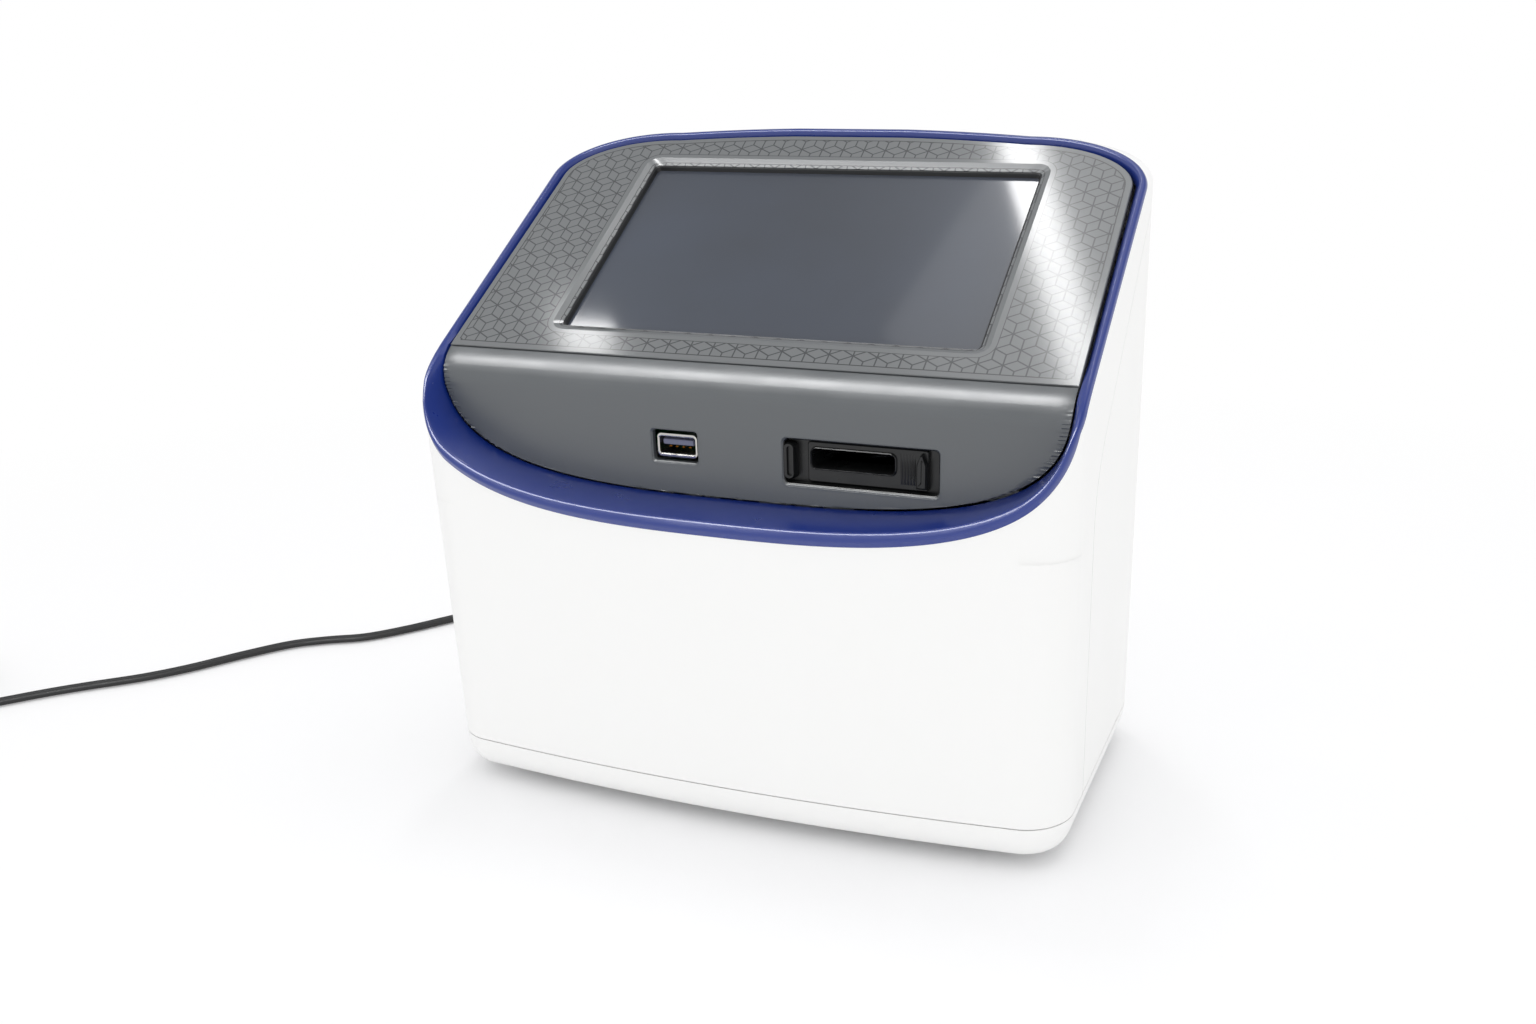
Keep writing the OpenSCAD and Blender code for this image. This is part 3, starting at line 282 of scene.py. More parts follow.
def inset_outline(z, inset):
    """Full outline at height z pulled in by inset, at every fourth step: each point of the base
    seam's outline moves along the inward normal."""
    x, y = half_outline(np.full(len(inset), seam_z))
    x, y = x[:, ::4], y[:, ::4]
    tx, ty = np.gradient(x, axis=1), np.gradient(y, axis=1)
    size = np.hypot(tx, ty)
    x = np.maximum(x - inset[:, None] * ty / size, 0)
    y = y + inset[:, None] * tx / size
    x[:, 0] = x[:, -1] = 0
    half = grid_of(x, y, z[:, None])
    return np.concatenate([mirrored(half), half[:, 1:]], axis=1)


pan = inset_outline(np.array([5.0, 5.05, 5.4, 6.0, 7.0, 8.4, 10.0, 12.0, 14.0, seam_z]),
                    np.array([5.4, 4.4, 3.6, 3.0, 2.3, 1.5, 0.85, 0.35, 0.1, 0.0]))
inner = inset_outline(np.array([seam_z, 9.0, 7.5]), np.array([3.0, 5.4, 5.4]))
middle = np.array([0, 5.0, 0])
pan_piece = skin("base_pan_moulding", [np.concatenate([
    pan[:1] * [0, 0, 1] + middle, pan, inner, inner[-1:] * [0, 0, 1] + middle])])
wear(pan_piece, white_abs, "white_moulding", "base_pan")


# Feet and base screws: four soft pads pressed into pockets of the pan, and four plated screws that
# hold the pan to the chassis. Their shapes are the CAD nodes' own.
foot_rubber = finish("moulded_black_rubber", (0.5, 0.01), (5, 0.65, 0.85), Base_Color="#1b1b1c")
plated_screw = finish("zinc_plated_steel", gloss=(2, 0.22, 0.4), Base_Color="#a9abad",
                      Metallic=1.0)


def refinish(material, *names):
    """Puts a material on CAD nodes whose shape stays as it is."""
    for name in names:
        coat(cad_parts[name], material)


refinish(foot_rubber, "feet")
refinish(plated_screw, "base_screws")


# Rear housing: the back shell in the same white ABS, from the side seams round the back. Its back
# has an opening for the light cube door and a pocket for the power switch and inlet.
seam_y, seam_r, seam_angle = -30.5, 42.0, math.radians(44)
seam_gap = 0.4
shell_wall = 2.8


def side_seam(z):
    """Where the side walls part: upright, then an arc of radius 42, then a slope of 44 degrees."""
    bend_top = nose_z + seam_r * math.cos(seam_angle)
    rise = np.clip(z, nose_z, bend_top) - nose_z
    arc = seam_y + seam_r - np.sqrt(np.clip(seam_r * seam_r - rise ** 2, 0, None))
    return arc + np.clip(z - bend_top, 0, None) / math.tan(seam_angle)


def place_at_y(z, y):
    """How many outline steps from the front the outline at height z reaches depth y."""
    return np.array([np.interp(v, row, np.arange(steps)) for v, row in zip(y, half_outline(z)[1])])


def place_at_x(z, x):
    """How many outline steps from the front the outline at height z first reaches width x."""
    found = []
    for want, row in zip(x, half_outline(z)[0]):
        widest = row.argmax() + 1
        found.append(np.interp(want, row[:widest], np.arange(widest)))
    return np.array(found)


door_hole = ((-7.0, 87.0), (46.7, 103.7))
pocket = ((-92.0, -31.5), (26.5, 53.5))
flat_half, rear_steps = 92.5, 300
fine_z = np.linspace(215, rim_top_z, 2000)
seam_top = float(np.interp(0, side_seam(fine_z) - back_y(fine_z), fine_z))
shoulder_rows = shoulder_z + shoulder_h * np.sin(np.linspace(0, math.pi / 2, 22))
crown_rows = rim_top_z - crown_rise * np.linspace(1, 0, 22)[1:] ** 2
rear_rows = np.unique(np.concatenate([
    [seam_z + seam_gap, seam_top], door_hole[1], pocket[1], np.linspace(20, 200, 46),
    shoulder_rows, crown_rows[crown_rows < seam_top]]))
seam_place = place_at_y(rear_rows, np.minimum(side_seam(rear_rows) + seam_gap,
                                              back_y(rear_rows) - 0.01))
outline_x = half_outline(rear_rows)[0]
side_x = half_width - side_draft * (rear_rows - seam_z) / (roof_z - seam_z)
flat_x = np.minimum(np.minimum(flat_half, outline_x[:, int(steps * 0.7):].max(axis=1) - 1e-6),
                    side_x - rear_corner + 2.2)
corner_place = np.array([np.interp(-x, -row[-rear_steps:], np.arange(steps - rear_steps, steps))
                         for x, row in zip(flat_x, outline_x)])
side_part = row_of(rear_rows, seam_place, np.maximum(corner_place, seam_place),
                   np.linspace(0, 1, 60) ** 0.9)
marks = np.unique(np.concatenate([np.abs(door_hole[0]), np.abs(pocket[0]),
                                  [0, 20, 45, 60, 75, flat_half]]))[::-1]
flat_part = grid_of(marks * (flat_x / flat_half)[:, None], back_y(rear_rows)[:, None],
                    rear_rows[:, None])
flat_part[:, 0] = side_part[:, -1]
rear_half = np.concatenate([side_part, flat_part[:, 1:]], axis=1)
rear_sheet = without(skin("rear_housing_shell", [rear_half, mirrored(rear_half)]), door_hole,
                     pocket)
wear(walled(rear_sheet, shell_wall), white_abs, "white_moulding", "rear_housing")


def rounded_loop(w, h, r, n=12):
    """Closed outline of a rectangle with rounded corners as (x, z), from the upper right corner
    anticlockwise; each corner is a quarter circle of n steps."""
    r = min(r, w / 2 - 1e-4, h / 2 - 1e-4)
    turn = np.linspace(0, math.pi / 2, n + 1)
    quarters = [np.stack([sx * (w / 2 - r) + r * np.cos(turn + k * math.pi / 2),
                          sz * (h / 2 - r) + r * np.sin(turn + k * math.pi / 2)], -1)
                for k, (sx, sz) in enumerate(((1, 1), (-1, 1), (-1, -1), (1, -1)))]
    loop = np.concatenate(quarters)
    return np.concatenate([loop, loop[:1]])


def rings_of(rows, n=12):
    """Rings of rounded rectangles, one per row (x, z, width, height, radius, depth y)."""
    return np.stack([np.insert(rounded_loop(w, h, r, n) + (x, z), 1, y, axis=1)
                     for x, z, w, h, r, y in rows])


def grown(x, z, w, h, *rows):
    """Rows for rings_of about one middle: the rectangle grown by d, with its radius r and depth y,
    for each (d, r, y)."""
    return [(x, z, w + d, h + d, r, y) for d, r, y in rows]


# The pocket's tray: straight walls with rounded corners that step in to a flat floor, which has
# one opening for the mains inlet and one for the switch.
floor_y, floor_step, tray_wall = 65.8, 3.2, 1.5
inlet_hole = ((-86.5, -61.5), (32.5, 47.5))
switch_hole = ((-48.5, -35.5), (30.5, 49.5))
tray = rings_of(grown(*np.mean(pocket, axis=1), *np.ptp(pocket, axis=1), (0, 0.01, 69.9),
                      (-0.2, 1.2, 69.85), (-0.7, 1.4, 69.3), (-1.0, 1.6, 66.4),
                      (-2.0, 1.2, floor_y), (-floor_step, 0.01, floor_y)))
inside = np.array(pocket) + [floor_step / 2, -floor_step / 2]
floor_x = np.array([inside[0, 0], *inlet_hole[0], *switch_hole[0], inside[0, 1]])
floor_z = np.array([inside[1, 0], *sorted(inlet_hole[1] + switch_hole[1]), inside[1, 1]])
floor_grid = grid_of(floor_x[::-1], floor_y, floor_z[:, None])
tray_piece = without(skin("rear_pocket_tray", [tray[::-1], floor_grid]), inlet_hole, switch_hole)
wear(walled(tray_piece, tray_wall), white_abs, "white_moulding", "rear_housing")


# Light cube door: a white ABS flap on two hinge pins, with a finger scoop in its upper edge. Its
# shape is the CAD node's own.
refinish(white_abs, "cube_door")


# Front housing: the white ABS shell that meets the rim. Its edge follows the rim's squared oval
# round the nose and then the slope of the face up to the roof.
split_y, split_z = -43.1, 155.1
slope = math.radians(33)
nose_r = 59.0
nose_y = split_y + nose_r * math.sin(slope)
face_from = nose_z + 20
lip_half, lip_fall, oval_power = 112.0, 49.2, 3.1
rim_t = 1.6


def half_oval(t, a, b):
    """Squared oval below the split line: x = a cos(t)^(2/n), z = split - b sin(t)^(2/n)."""
    power = 2 / oval_power
    return a * np.cos(t) ** power, split_z - b * np.sin(t) ** power


def oval_x(z, a, b):
    """Half width of that oval at height z: a (1 - ((split - z) / b)^n)^(1/n)."""
    fall = np.clip((split_z - z) / b, 0, 1)
    return a * (1 - fall ** oval_power) ** (1 / oval_power)


def face_y(z, depth):
    """Where the face, lowered by depth, lies at height z: the nose's arc, then the slope."""
    r = nose_r - depth
    arc = nose_y - np.sqrt(np.clip(r * r - (z - nose_z) ** 2, 0, None))
    edge_z = split_z - depth * math.cos(slope)
    line = split_y + depth * math.sin(slope) + (z - edge_z) / math.tan(slope)
    return np.where(z <= edge_z, arc, line)


turn = np.linspace(math.pi / 2, 0, 90)
lip_rows = half_oval(turn, lip_half, lip_fall)[1]
front_rows = np.unique(np.concatenate([
    np.linspace(seam_z + seam_gap, lip_rows[0], 30)[:-1], lip_rows,
    np.linspace(split_z, shoulder_z, 26), shoulder_rows, crown_rows]))
lip_x = np.minimum(oval_x(front_rows, lip_half, lip_fall),
                   half_outline(front_rows)[0].max(axis=1) - 0.3)
from_face = np.where(front_rows > face_from, place_at_y(front_rows, face_y(front_rows, rim_t)), 0)
start = np.maximum(from_face, np.where(front_rows > split_z, 0, place_at_x(front_rows, lip_x)))
end = np.maximum(place_at_y(front_rows, side_seam(front_rows)), start)
front_half = row_of(front_rows, start, end, np.linspace(0, 1, 64))
front_piece = skin("front_housing_shell", [front_half, mirrored(front_half)])
wear(walled(front_piece, shell_wall), white_abs, "white_moulding", "front_housing")


# Rim: one semi-gloss blue moulding. A rounded lip caps the housing's edge; below the split line it
# rolls over into a shelf that runs back to the fascia, and up the slope it frames the overlay.
blue_abs = finish("moulded_blue_abs", (0.5, 0.003), (18, 0.26, 0.38), Base_Color="#142f82",
                  IOR=1.5, Coat_Weight=0.5, Coat_Roughness=0.14)
crest_half, crest_fall, crest_clear = 110.1, 44.5, 109.6
foot_half, foot_fall = 108.6, 43.3
bend_r = 14.5
panel_back = 0.6
up_slope = np.array([0, math.cos(slope), math.sin(slope)])
off_slope = np.array([0, -math.sin(slope), math.cos(slope)])
split_point = np.array([0, split_y, split_z])


def on_slope(x, v, w):
    """Points x across, v up the slope from the split line and w above its plane."""
    x, v, w = np.broadcast_arrays(x, v, w)
    return (split_point + x[..., None] * [1, 0, 0] + v[..., None] * up_slope
            + w[..., None] * off_slope)


def even(line, n):
    """The same line with n points at equal distances along it."""
    s = np.concatenate([[0], np.cumsum(np.linalg.norm(np.diff(line, axis=0), axis=1))])
    want = np.linspace(0, s[-1], n)
    return np.stack([np.interp(want, s, line[:, k]) for k in range(line.shape[1])], -1)


def rounded_chain(corners, cuts):
    """A grid across lines of corner points: each corner is cut back by its length in mm and
    replaced by the quadratic curve (1-t)^2 a + 2t(1-t) corner + t^2 b. A cut of 0 keeps it."""
    t = np.linspace(0, 1, 6)[None, :, None]
    parts = []
    for k, (corner, cut) in enumerate(zip(corners, cuts)):
        if cut == 0 or k in (0, len(corners) - 1):
            parts.append(corner[:, None])
            continue
        ends = []
        for other in (corners[k - 1], corners[k + 1]):
            d = other - corner
            size = np.linalg.norm(d, axis=1, keepdims=True)
            ends.append(corner + d / np.maximum(size, 1e-6) * np.minimum(cut, size * 0.49))
        a, b = ends[0][:, None], ends[1][:, None]
        parts.append((1 - t) ** 2 * a + 2 * t * (1 - t) * corner[:, None] + t * t * b)
    return np.concatenate(parts, axis=1)


def turned_out(piece):
    """Flips a closed mesh whose volume, with its sign, comes out negative."""
    work = bmesh.new()
    work.from_mesh(piece.data)
    if work.calc_volume(signed=True) < 0:
        piece.data.flip_normals()
    work.free()
    return piece


def wall_line(depth, n):
    """Where the housing's wall meets the slope's plane lowered by depth, as (x, v), from the split
    line round the shoulder to the middle of the roof, with n points at equal distances."""
    z = np.linspace(split_z - depth * math.cos(slope), rim_top_z, 6000)
    z = z[face_y(z, depth) < back_y(z)]
    x = points_at(z, place_at_y(z, face_y(z, depth)))[:, 0]
    v = (z - split_z + depth * math.cos(slope)) / math.sin(slope)
    line = np.stack([x, v], -1)
    top = line[-1] * [0, 1]
    return even(np.concatenate([line, top[None]]), n)


def pulled_in(line, distance):
    """The line moved to its left by a distance per point: p + d (-dv, dx) / |(dx, dv)|."""
    d = np.gradient(line, axis=0)
    d[0], d[-1] = [0, 1], [-1, 0]
    d /= np.linalg.norm(d, axis=1, keepdims=True)
    return line + np.stack([-d[:, 1], d[:, 0]], -1) * np.asarray(distance)[:, None]


def fascia_y(z, depth):
    """Depth of the lower fascia's face: upright, then an arc of radius 14.5 up to the slope."""
    r = bend_r - depth
    rise = np.clip(z - split_z + bend_r * math.cos(slope), 0, r * math.cos(slope))
    return split_y + bend_r * math.sin(slope) - np.sqrt(r * r - rise * rise)


# Above the split line the rim follows the wall: it widens up the slope, its crest rises and its
# foot sinks over the first 12 mm. Below it the rim lies between squared ovals.
wall_xv = wall_line(rim_t, 130)
widening = np.clip(wall_xv[:, 1] / 90, 0, 1)
ramp = np.clip(wall_xv[:, 1] / 12, 0, 1)
upper_outer = on_slope(*wall_xv.T, -rim_t)
upper_crest = on_slope(*pulled_in(wall_xv, 2.0 + 0.35 * widening).T, 0.28 * ramp)
upper_foot = on_slope(*pulled_in(wall_xv, 3.35 + 0.4 * widening).T, -0.6 - 1.4 * ramp)
lip = turn[:-1]
ox, oz = half_oval(lip, lip_half, lip_fall)
lip_at = place_at_x(oz, np.minimum(ox, half_outline(oz)[0].max(axis=1) - 0.05))
lip_at = np.where(oz > face_from, np.maximum(lip_at, place_at_y(oz, face_y(oz, rim_t))), lip_at)
lower_outer = points_at(oz, lip_at)
cx, cz = half_oval(lip, crest_half, crest_fall)
cy = np.maximum(points_at(cz, place_at_x(cz, cx))[:, 1], face_y(cz, 0.0))
lower_crest = grid_of(cx, np.where(cx > crest_clear, face_y(cz, 0.0), cy), cz)
fx, fz = half_oval(lip, foot_half, foot_fall)
lower_foot = grid_of(fx, fascia_y(fz, panel_back), fz)
nose_out = grid_of(0, cy - nose_y, cz - nose_z)
nose_out /= np.linalg.norm(nose_out, axis=1, keepdims=True)
outer = np.concatenate([lower_outer, upper_outer])
crest = np.concatenate([lower_crest, upper_crest])
foot = np.concatenate([lower_foot, upper_foot])
outward = np.concatenate([nose_out, np.tile(off_slope, (len(upper_outer), 1))])
mixed = np.clip((np.arange(len(outer))[:, None] - len(lip) + 24) / 40, 0, 1)
lip_edge = outer + (0.45 - 0.25 * mixed) * (crest - outer) + (1.3 - 0.3 * mixed) * outward
inward = (foot - outer) / np.linalg.norm(foot - outer, axis=1, keepdims=True)
rim_half = rounded_chain([outer, lip_edge, crest, foot, foot - outward * 1.8,
                          outer - outward * 2 + inward, outer], [0, 0.8, 0.8, 0, 0, 0, 0])
rim_half[0, :, 0] = rim_half[-1, :, 0] = 0
rim_grid = rim_half.transpose(1, 0, 2)
rim_piece = turned_out(skin("rim_moulding", [rim_grid, mirrored(rim_grid)], sharp=42))
wear(rim_piece, blue_abs, "blue_moulding", "rim")


# Overlay: a clear-coated panel with a printed border line and a line pattern of tumbling blocks on
# its back. Its outer edge has a small chamfer, and a wider one leads down into the window.
window_centre = np.array([1.6, 57.7])
window_w, window_h, window_r = 152.6, 93.4, 5.0
overlay_top, overlay_back = -0.6, -3.6
bevel_w = 3.0
edge_xv = pulled_in(wall_xv, 3.95 + 0.85 * widening)
edge_xv = edge_xv[edge_xv[:, 1] > 0.6]
right_edge = np.concatenate([[[edge_xv[0, 0], 0.45]], edge_xv])
overlay_loop = np.concatenate([right_edge, (right_edge * [-1, 1])[::-1][1:], right_edge[:1]])


def angles_of(loop, centre):
    """The angles of a loop's points round the centre."""
    return np.arctan2(*(loop - centre).T[::-1])


def by_angle(loop, centre, angles):
    """Where rays from the centre meet a closed loop that they meet once: the loop is filled in to
    about four points a millimetre and read off by its angle round the centre."""
    n = int(np.linalg.norm(np.diff(loop, axis=0), axis=1).sum() * 4)
    s = np.linspace(0, len(loop) - 1, n)
    s = np.unique(np.concatenate([s, np.arange(len(loop))]))
    dense = np.stack([np.interp(s, np.arange(len(loop)), loop[:, k]) for k in (0, 1)], -1)
    a = angles_of(dense, centre)
    order = np.argsort(a)
    return np.stack([np.interp(angles, a[order], dense[order, k], period=2 * math.pi)
                     for k in (0, 1)], -1)


def shrunk_window(inset):
    """The window's outline moved in by inset."""
    return window_centre + rounded_loop(window_w - 2 * inset, window_h - 2 * inset,
                                        max(window_r - inset, 1.6), 10)


angles = np.unique(np.round(np.concatenate([
    angles_of(overlay_loop, window_centre), angles_of(shrunk_window(0), window_centre),
    np.linspace(-math.pi, math.pi, 120, endpoint=False)]), 5))
outer_ring = by_angle(overlay_loop, window_centre, angles)
inner_ring = by_angle(shrunk_window(0), window_centre, angles)
low_ring = by_angle(shrunk_window(bevel_w), window_centre, angles)
parts = (0, 0.02, 0.15, 0.3, 0.5, 0.7, 0.85)
chamfer = 0.3 / np.linalg.norm(outer_ring - inner_ring, axis=1)[:, None]
rows = np.stack([low_ring, low_ring, *(inner_ring * (1 - f) + outer_ring * f for f in parts),
                 outer_ring * (1 - chamfer) + inner_ring * chamfer, outer_ring, outer_ring,
                 low_ring])
rows = np.concatenate([rows, rows[:, :1]], axis=1)
heights = np.array([overlay_back, overlay_top - 1.25, *[overlay_top] * (len(parts) + 1),
                    overlay_top - 0.28, overlay_back, overlay_back])
overlay_grid = on_slope(rows[..., 0], rows[..., 1], heights[:, None])


def distance_to(points, loop):
    """Distance of each point from a closed loop of points one millimetre apart or less."""
    loop = even(loop, 900)
    flat = points.reshape(-1, 2)
    return np.concatenate([np.linalg.norm(part[:, None] - loop[None], axis=2).min(axis=1)
                           for part in np.array_split(flat, 8)]).reshape(points.shape[:-1])


edges = np.stack([distance_to(rows, overlay_loop), distance_to(rows, shrunk_window(0))], -1)
overlay_piece = turned_out(skin("printed_overlay", [overlay_grid], sharp=20,
                                uvs=[("face", [rows]), ("edge", [edges])]))
block_side = 4.6
line_width = 0.36
edge_margin, window_margin = 2.4, 2.0
print_grey, print_dark, border_line = "#6a6d6f", "#34373a", "#2c2e30"
overlay_gloss = finish("clear_coated_overlay", Roughness=0.42, IOR=1.5, Coat_Weight=1.0,
                       Coat_Roughness=0.11, Coat_IOR=1.5)


def maths(tree, operation, *inputs, kind="Math", out=0):
    """An output of a math node: other outputs are linked to its sockets, and numbers and tuples
    are set on them."""
    node = tree.nodes.new("ShaderNode" + kind)
    node.operation = operation
    for socket, value in zip(node.inputs, inputs):
        if isinstance(value, (int, float, tuple)):
            socket.default_value = value
        else:
            tree.links.new(value, socket)
    return node.outputs[out]


def vector_maths(tree, operation, *inputs, out="Vector"):
    """The same for a vector math node."""
    return maths(tree, operation, *inputs, kind="VectorMath", out=out)


def band(tree, value, centre, half, soft):
    """1 where the value is within half of the centre, falling to 0 over a soft edge."""
    away = maths(tree, "ABSOLUTE", maths(tree, "SUBTRACT", value, centre))
    return ranged(tree, away, half + soft, half)


def block_lines(tree, place):
    """1 on the lines of the block pattern. The plane is split into hexagons about points 8 mm
    apart, each with three lines through its middle, to its six corners: distance = min |p . n|."""
    cell = (block_side * math.sqrt(3), block_side * 3, 1.0)
    scaled = vector_maths(tree, "DIVIDE", place, cell)
    offsets = []
    for shift in (0.0, 0.5):
        moved = vector_maths(tree, "ADD", scaled, (shift, shift, 0.0))
        part = vector_maths(tree, "FRACTION", moved)
        middle = vector_maths(tree, "SUBTRACT", part, (0.5, 0.5, 0.0))
        offsets.append(vector_maths(tree, "MULTIPLY", middle, (cell[0], cell[1], 0.0)))
    sizes = [vector_maths(tree, "LENGTH", v, out="Value") for v in offsets]
    nearer = maths(tree, "LESS_THAN", sizes[1], sizes[0])
    pick = add(tree, "ShaderNodeMix", [("Factor", nearer)], data_type="VECTOR")
    tree.links.new(offsets[0], pick.inputs["A"])
    tree.links.new(offsets[1], pick.inputs["B"])
    local = pick.outputs["Result"]
    normals = ((1.0, 0.0, 0.0), (0.5, math.sqrt(0.75), 0.0), (0.5, -math.sqrt(0.75), 0.0))
    away = [maths(tree, "ABSOLUTE", vector_maths(tree, "DOT_PRODUCT", local, n, out="Value"))
            for n in normals]
    nearest = maths(tree, "MINIMUM", maths(tree, "MINIMUM", away[0], away[1]), away[2])
    return band(tree, nearest, 0.0, line_width / 2, 0.12)


tree = overlay_gloss.node_tree
face_map = add(tree, "ShaderNodeUVMap", uv_map="face")
edge_map = add(tree, "ShaderNodeUVMap", uv_map="edge")
near = add(tree, "ShaderNodeSeparateXYZ", [("Vector", edge_map.outputs["UV"])])
from_edge, from_window = near.outputs["X"], near.outputs["Y"]
lines = block_lines(tree, face_map.outputs["UV"])
printed = maths(tree, "MULTIPLY", maths(tree, "GREATER_THAN", from_edge, edge_margin),
                maths(tree, "GREATER_THAN", from_window, window_margin))
lines = maths(tree, "MULTIPLY", lines, printed)
border = maths(tree, "MAXIMUM", band(tree, from_edge, edge_margin, 0.16, 0.08),
               band(tree, from_window, window_margin, 0.1, 0.06))
colour = blended(tree, border, blended(tree, lines, print_grey, print_dark), border_line)
tree.links.new(colour, tree.nodes["Principled BSDF"].inputs["Base Color"])
wear(overlay_piece, overlay_gloss, "overlay_gloss", "overlay")

# Window wall: the black edge of the carrier, seen between the overlay's chamfer and the glass. A
# small lip at its top meets the chamfer.
black_abs = finish("moulded_black_abs", (0.3, 0.006), (9, 0.34, 0.5), Base_Color="#1c1d1f",
                   IOR=1.5)
liner_in, liner_low = bevel_w - 0.05, overlay_back + 0.02
liner_rows = [(liner_in, overlay_top - 1.5), (bevel_w + 0.35, overlay_top - 1.35),
              (bevel_w + 0.6, overlay_top - 1.6), (bevel_w + 0.9, liner_low),
              (liner_in, liner_low), (liner_in, overlay_top - 1.5)]
liner_grid = np.stack([on_slope(*shrunk_window(i).T, w) for i, w in liner_rows])
wear(turned_out(skin("window_liner", [liner_grid])), black_abs, "black_moulding", "overlay")

# Touch glass and display: dark glass bonded over a switched-off panel, whose backlight sheet shows
# as a cloudy blue-grey. The display sits in a folded steel carrier.
screen_glass = finish("bonded_touch_glass", tint=(90, "#272a2f", "#3d475b"), Roughness=0.4,
                      IOR=1.5, Coat_Weight=1.0, Coat_Roughness=0.07)
zinc_sheet = finish("zinc_plated_sheet", (0.8, 0.004), (14, 0.28, 0.48), Base_Color="#b9bcbd",
                    Metallic=1.0)
refinish(screen_glass, "touch_glass")
refinish(zinc_sheet, "display_module", "display_carrier", "chassis", "power_supply")

# Lower fascia: a satin-painted moulding, upright with a bend at the top, and openings for the
# memory stick socket and the slide port. Each opening has a small light-catching chamfer.
satin_paint = finish("satin_painted_moulding", (0.25, 0.004), (20, 0.3, 0.4),
                     Base_Color="#54585b", IOR=1.7)
usb_hole = ((-29.9, -13.1), (122.5, 133.4))
port_hole = ((16.2, 68.4), (118.7, 134.1))
fascia_half, fascia_fall = foot_half - 0.7, foot_fall - 0.7
fascia_top, fascia_wall, core, edge_tuck = split_z - 0.8, 2.6, 72.0, 0.5
fascia_edge = np.array(half_oval(np.linspace(math.pi / 2, 0, 70), fascia_half, fascia_fall))
fascia_rows = np.unique(np.concatenate([
    fascia_edge[1][fascia_edge[1] < fascia_top], usb_hole[1], port_hole[1],
    np.linspace(120, fascia_top, 30)]))
half_at = oval_x(fascia_rows, fascia_half, fascia_fall)
core_x = np.unique(np.concatenate([usb_hole[0], port_hole[0], np.linspace(-core, core, 37)]))
core_part = core_x[None] * np.minimum(1, (half_at * 0.98 / core))[:, None]
step = np.linspace(0, 1, 13)[1:] ** 0.8
right_part = core_part[:, -1:] + (half_at[:, None] - core_part[:, -1:]) * step
fascia_x = np.concatenate([-right_part[:, ::-1], core_part, right_part], axis=1)
fascia_z = fascia_rows[:, None]
near_edge = np.min(np.hypot(np.abs(fascia_x)[..., None] - fascia_edge[0],
                            fascia_z[..., None] - fascia_edge[1]), axis=-1)
near_edge = np.where(fascia_z > split_z - 6,
                     np.minimum(near_edge, fascia_half - np.abs(fascia_x)), near_edge)
tuck = edge_tuck * np.clip(1 - near_edge / 0.6, 0, 1) ** 2
fascia_grid = grid_of(fascia_x, fascia_y(fascia_z, panel_back + tuck), fascia_z)
fascia_piece = without(skin("fascia_moulding", [fascia_grid]), usb_hole, port_hole)
wear(walled(fascia_piece, fascia_wall), satin_paint, "fascia_satin", "lower_fascia")


def lofted(name, rows, n=8):
    """A closed sleeve of the rings of those rows, with the last joined to the first."""
    rings = rings_of(rows, n)
    return turned_out(skin(name, [np.concatenate([rings, rings[:1]])], sharp=38))


face = float(fascia_y(125.0, panel_back))
for name, hole, corner in (("usb_collar", usb_hole, 1.6), ("port_collar", port_hole, 2.2)):
    collar = lofted(name, grown(*np.mean(hole, axis=1), *np.ptp(hole, axis=1),
                                (1.8, corner + 0.9, face - 0.02), (0.6, corner + 0.3, face - 0.06),
                                (-0.7, corner - 0.3, face + 0.6), (-0.9, corner - 0.4, face + 2.4),
                                (1.8, corner + 0.9, face + 2.4)))
    wear(collar, satin_paint, "fascia_satin", "lower_fascia")

# Memory stick socket: a nickel-plated shell with a flared mouth, a pale tongue with four contacts,
# and the small upright board that carries it behind the fascia.
nickel = finish("nickel_plate", gloss=(3, 0.12, 0.26), Base_Color="#c9c7c2", Metallic=1.0)
usb_x, usb_z, usb_front = -20.9, 128.1, -47.9


def about(x, z, front, *rows):
    """Rows for rings_of with one middle: (width, height, radius, depth behind the front)."""
    return [(x, z, w, h, r, front + y) for w, h, r, y in rows]


shell = lofted("usb_socket_shell", about(
    usb_x, usb_z, usb_front, (12.5, 5.3, 0.6, 13), (12.5, 5.3, 0.6, 0.9), (12.8, 5.6, 0.8, -0.3),
    (13.3, 6.3, 1.1, -0.5), (14.2, 7.5, 1.5, -0.35), (13.2, 6.0, 0.9, 0.9), (13.2, 6.0, 0.9, 13)))
wear(shell, nickel, "plated_steel", "usb_shell")
tongue_plastic = finish("pale_contact_carrier", (0.4, 0.004), Base_Color="#63667d", Roughness=0.4)
tongue = lofted("usb_contact_tongue", about(
    usb_x, usb_z + 0.9, usb_front, (0.1, 0.1, 0.02, 0.4), (10.6, 1.5, 0.3, 0.4),
    (11.0, 1.9, 0.4, 0.8), (11.0, 1.9, 0.4, 12.5), (0.1, 0.1, 0.02, 12.5)))
wear(tongue, tongue_plastic, "black_moulding", "usb_tongue")
gold = finish("gold_flashed_contact", gloss=(1, 0.15, 0.3), Base_Color="#d8b25a", Metallic=1.0)
leaf_rows = ((-0.5, 0.1, 0.04, 11), (-0.5, 0.1, 0.04, 2.2), (-0.9, 0.3, 0.1, 1.7),
             (-0.75, 0.5, 0.1, 2.6), (-0.2, 0.3, 0.1, 11))
for k, x in enumerate((-3.5, -1.2, 1.2, 3.5)):
    leaf = lofted("usb_contact_%d" % (k + 1), [
        (usb_x + x, usb_z + z, 0.9, h, r, usb_front + y) for z, h, r, y in leaf_rows], 3)
    wear(leaf, gold, "contact_brass", "usb_tongue")
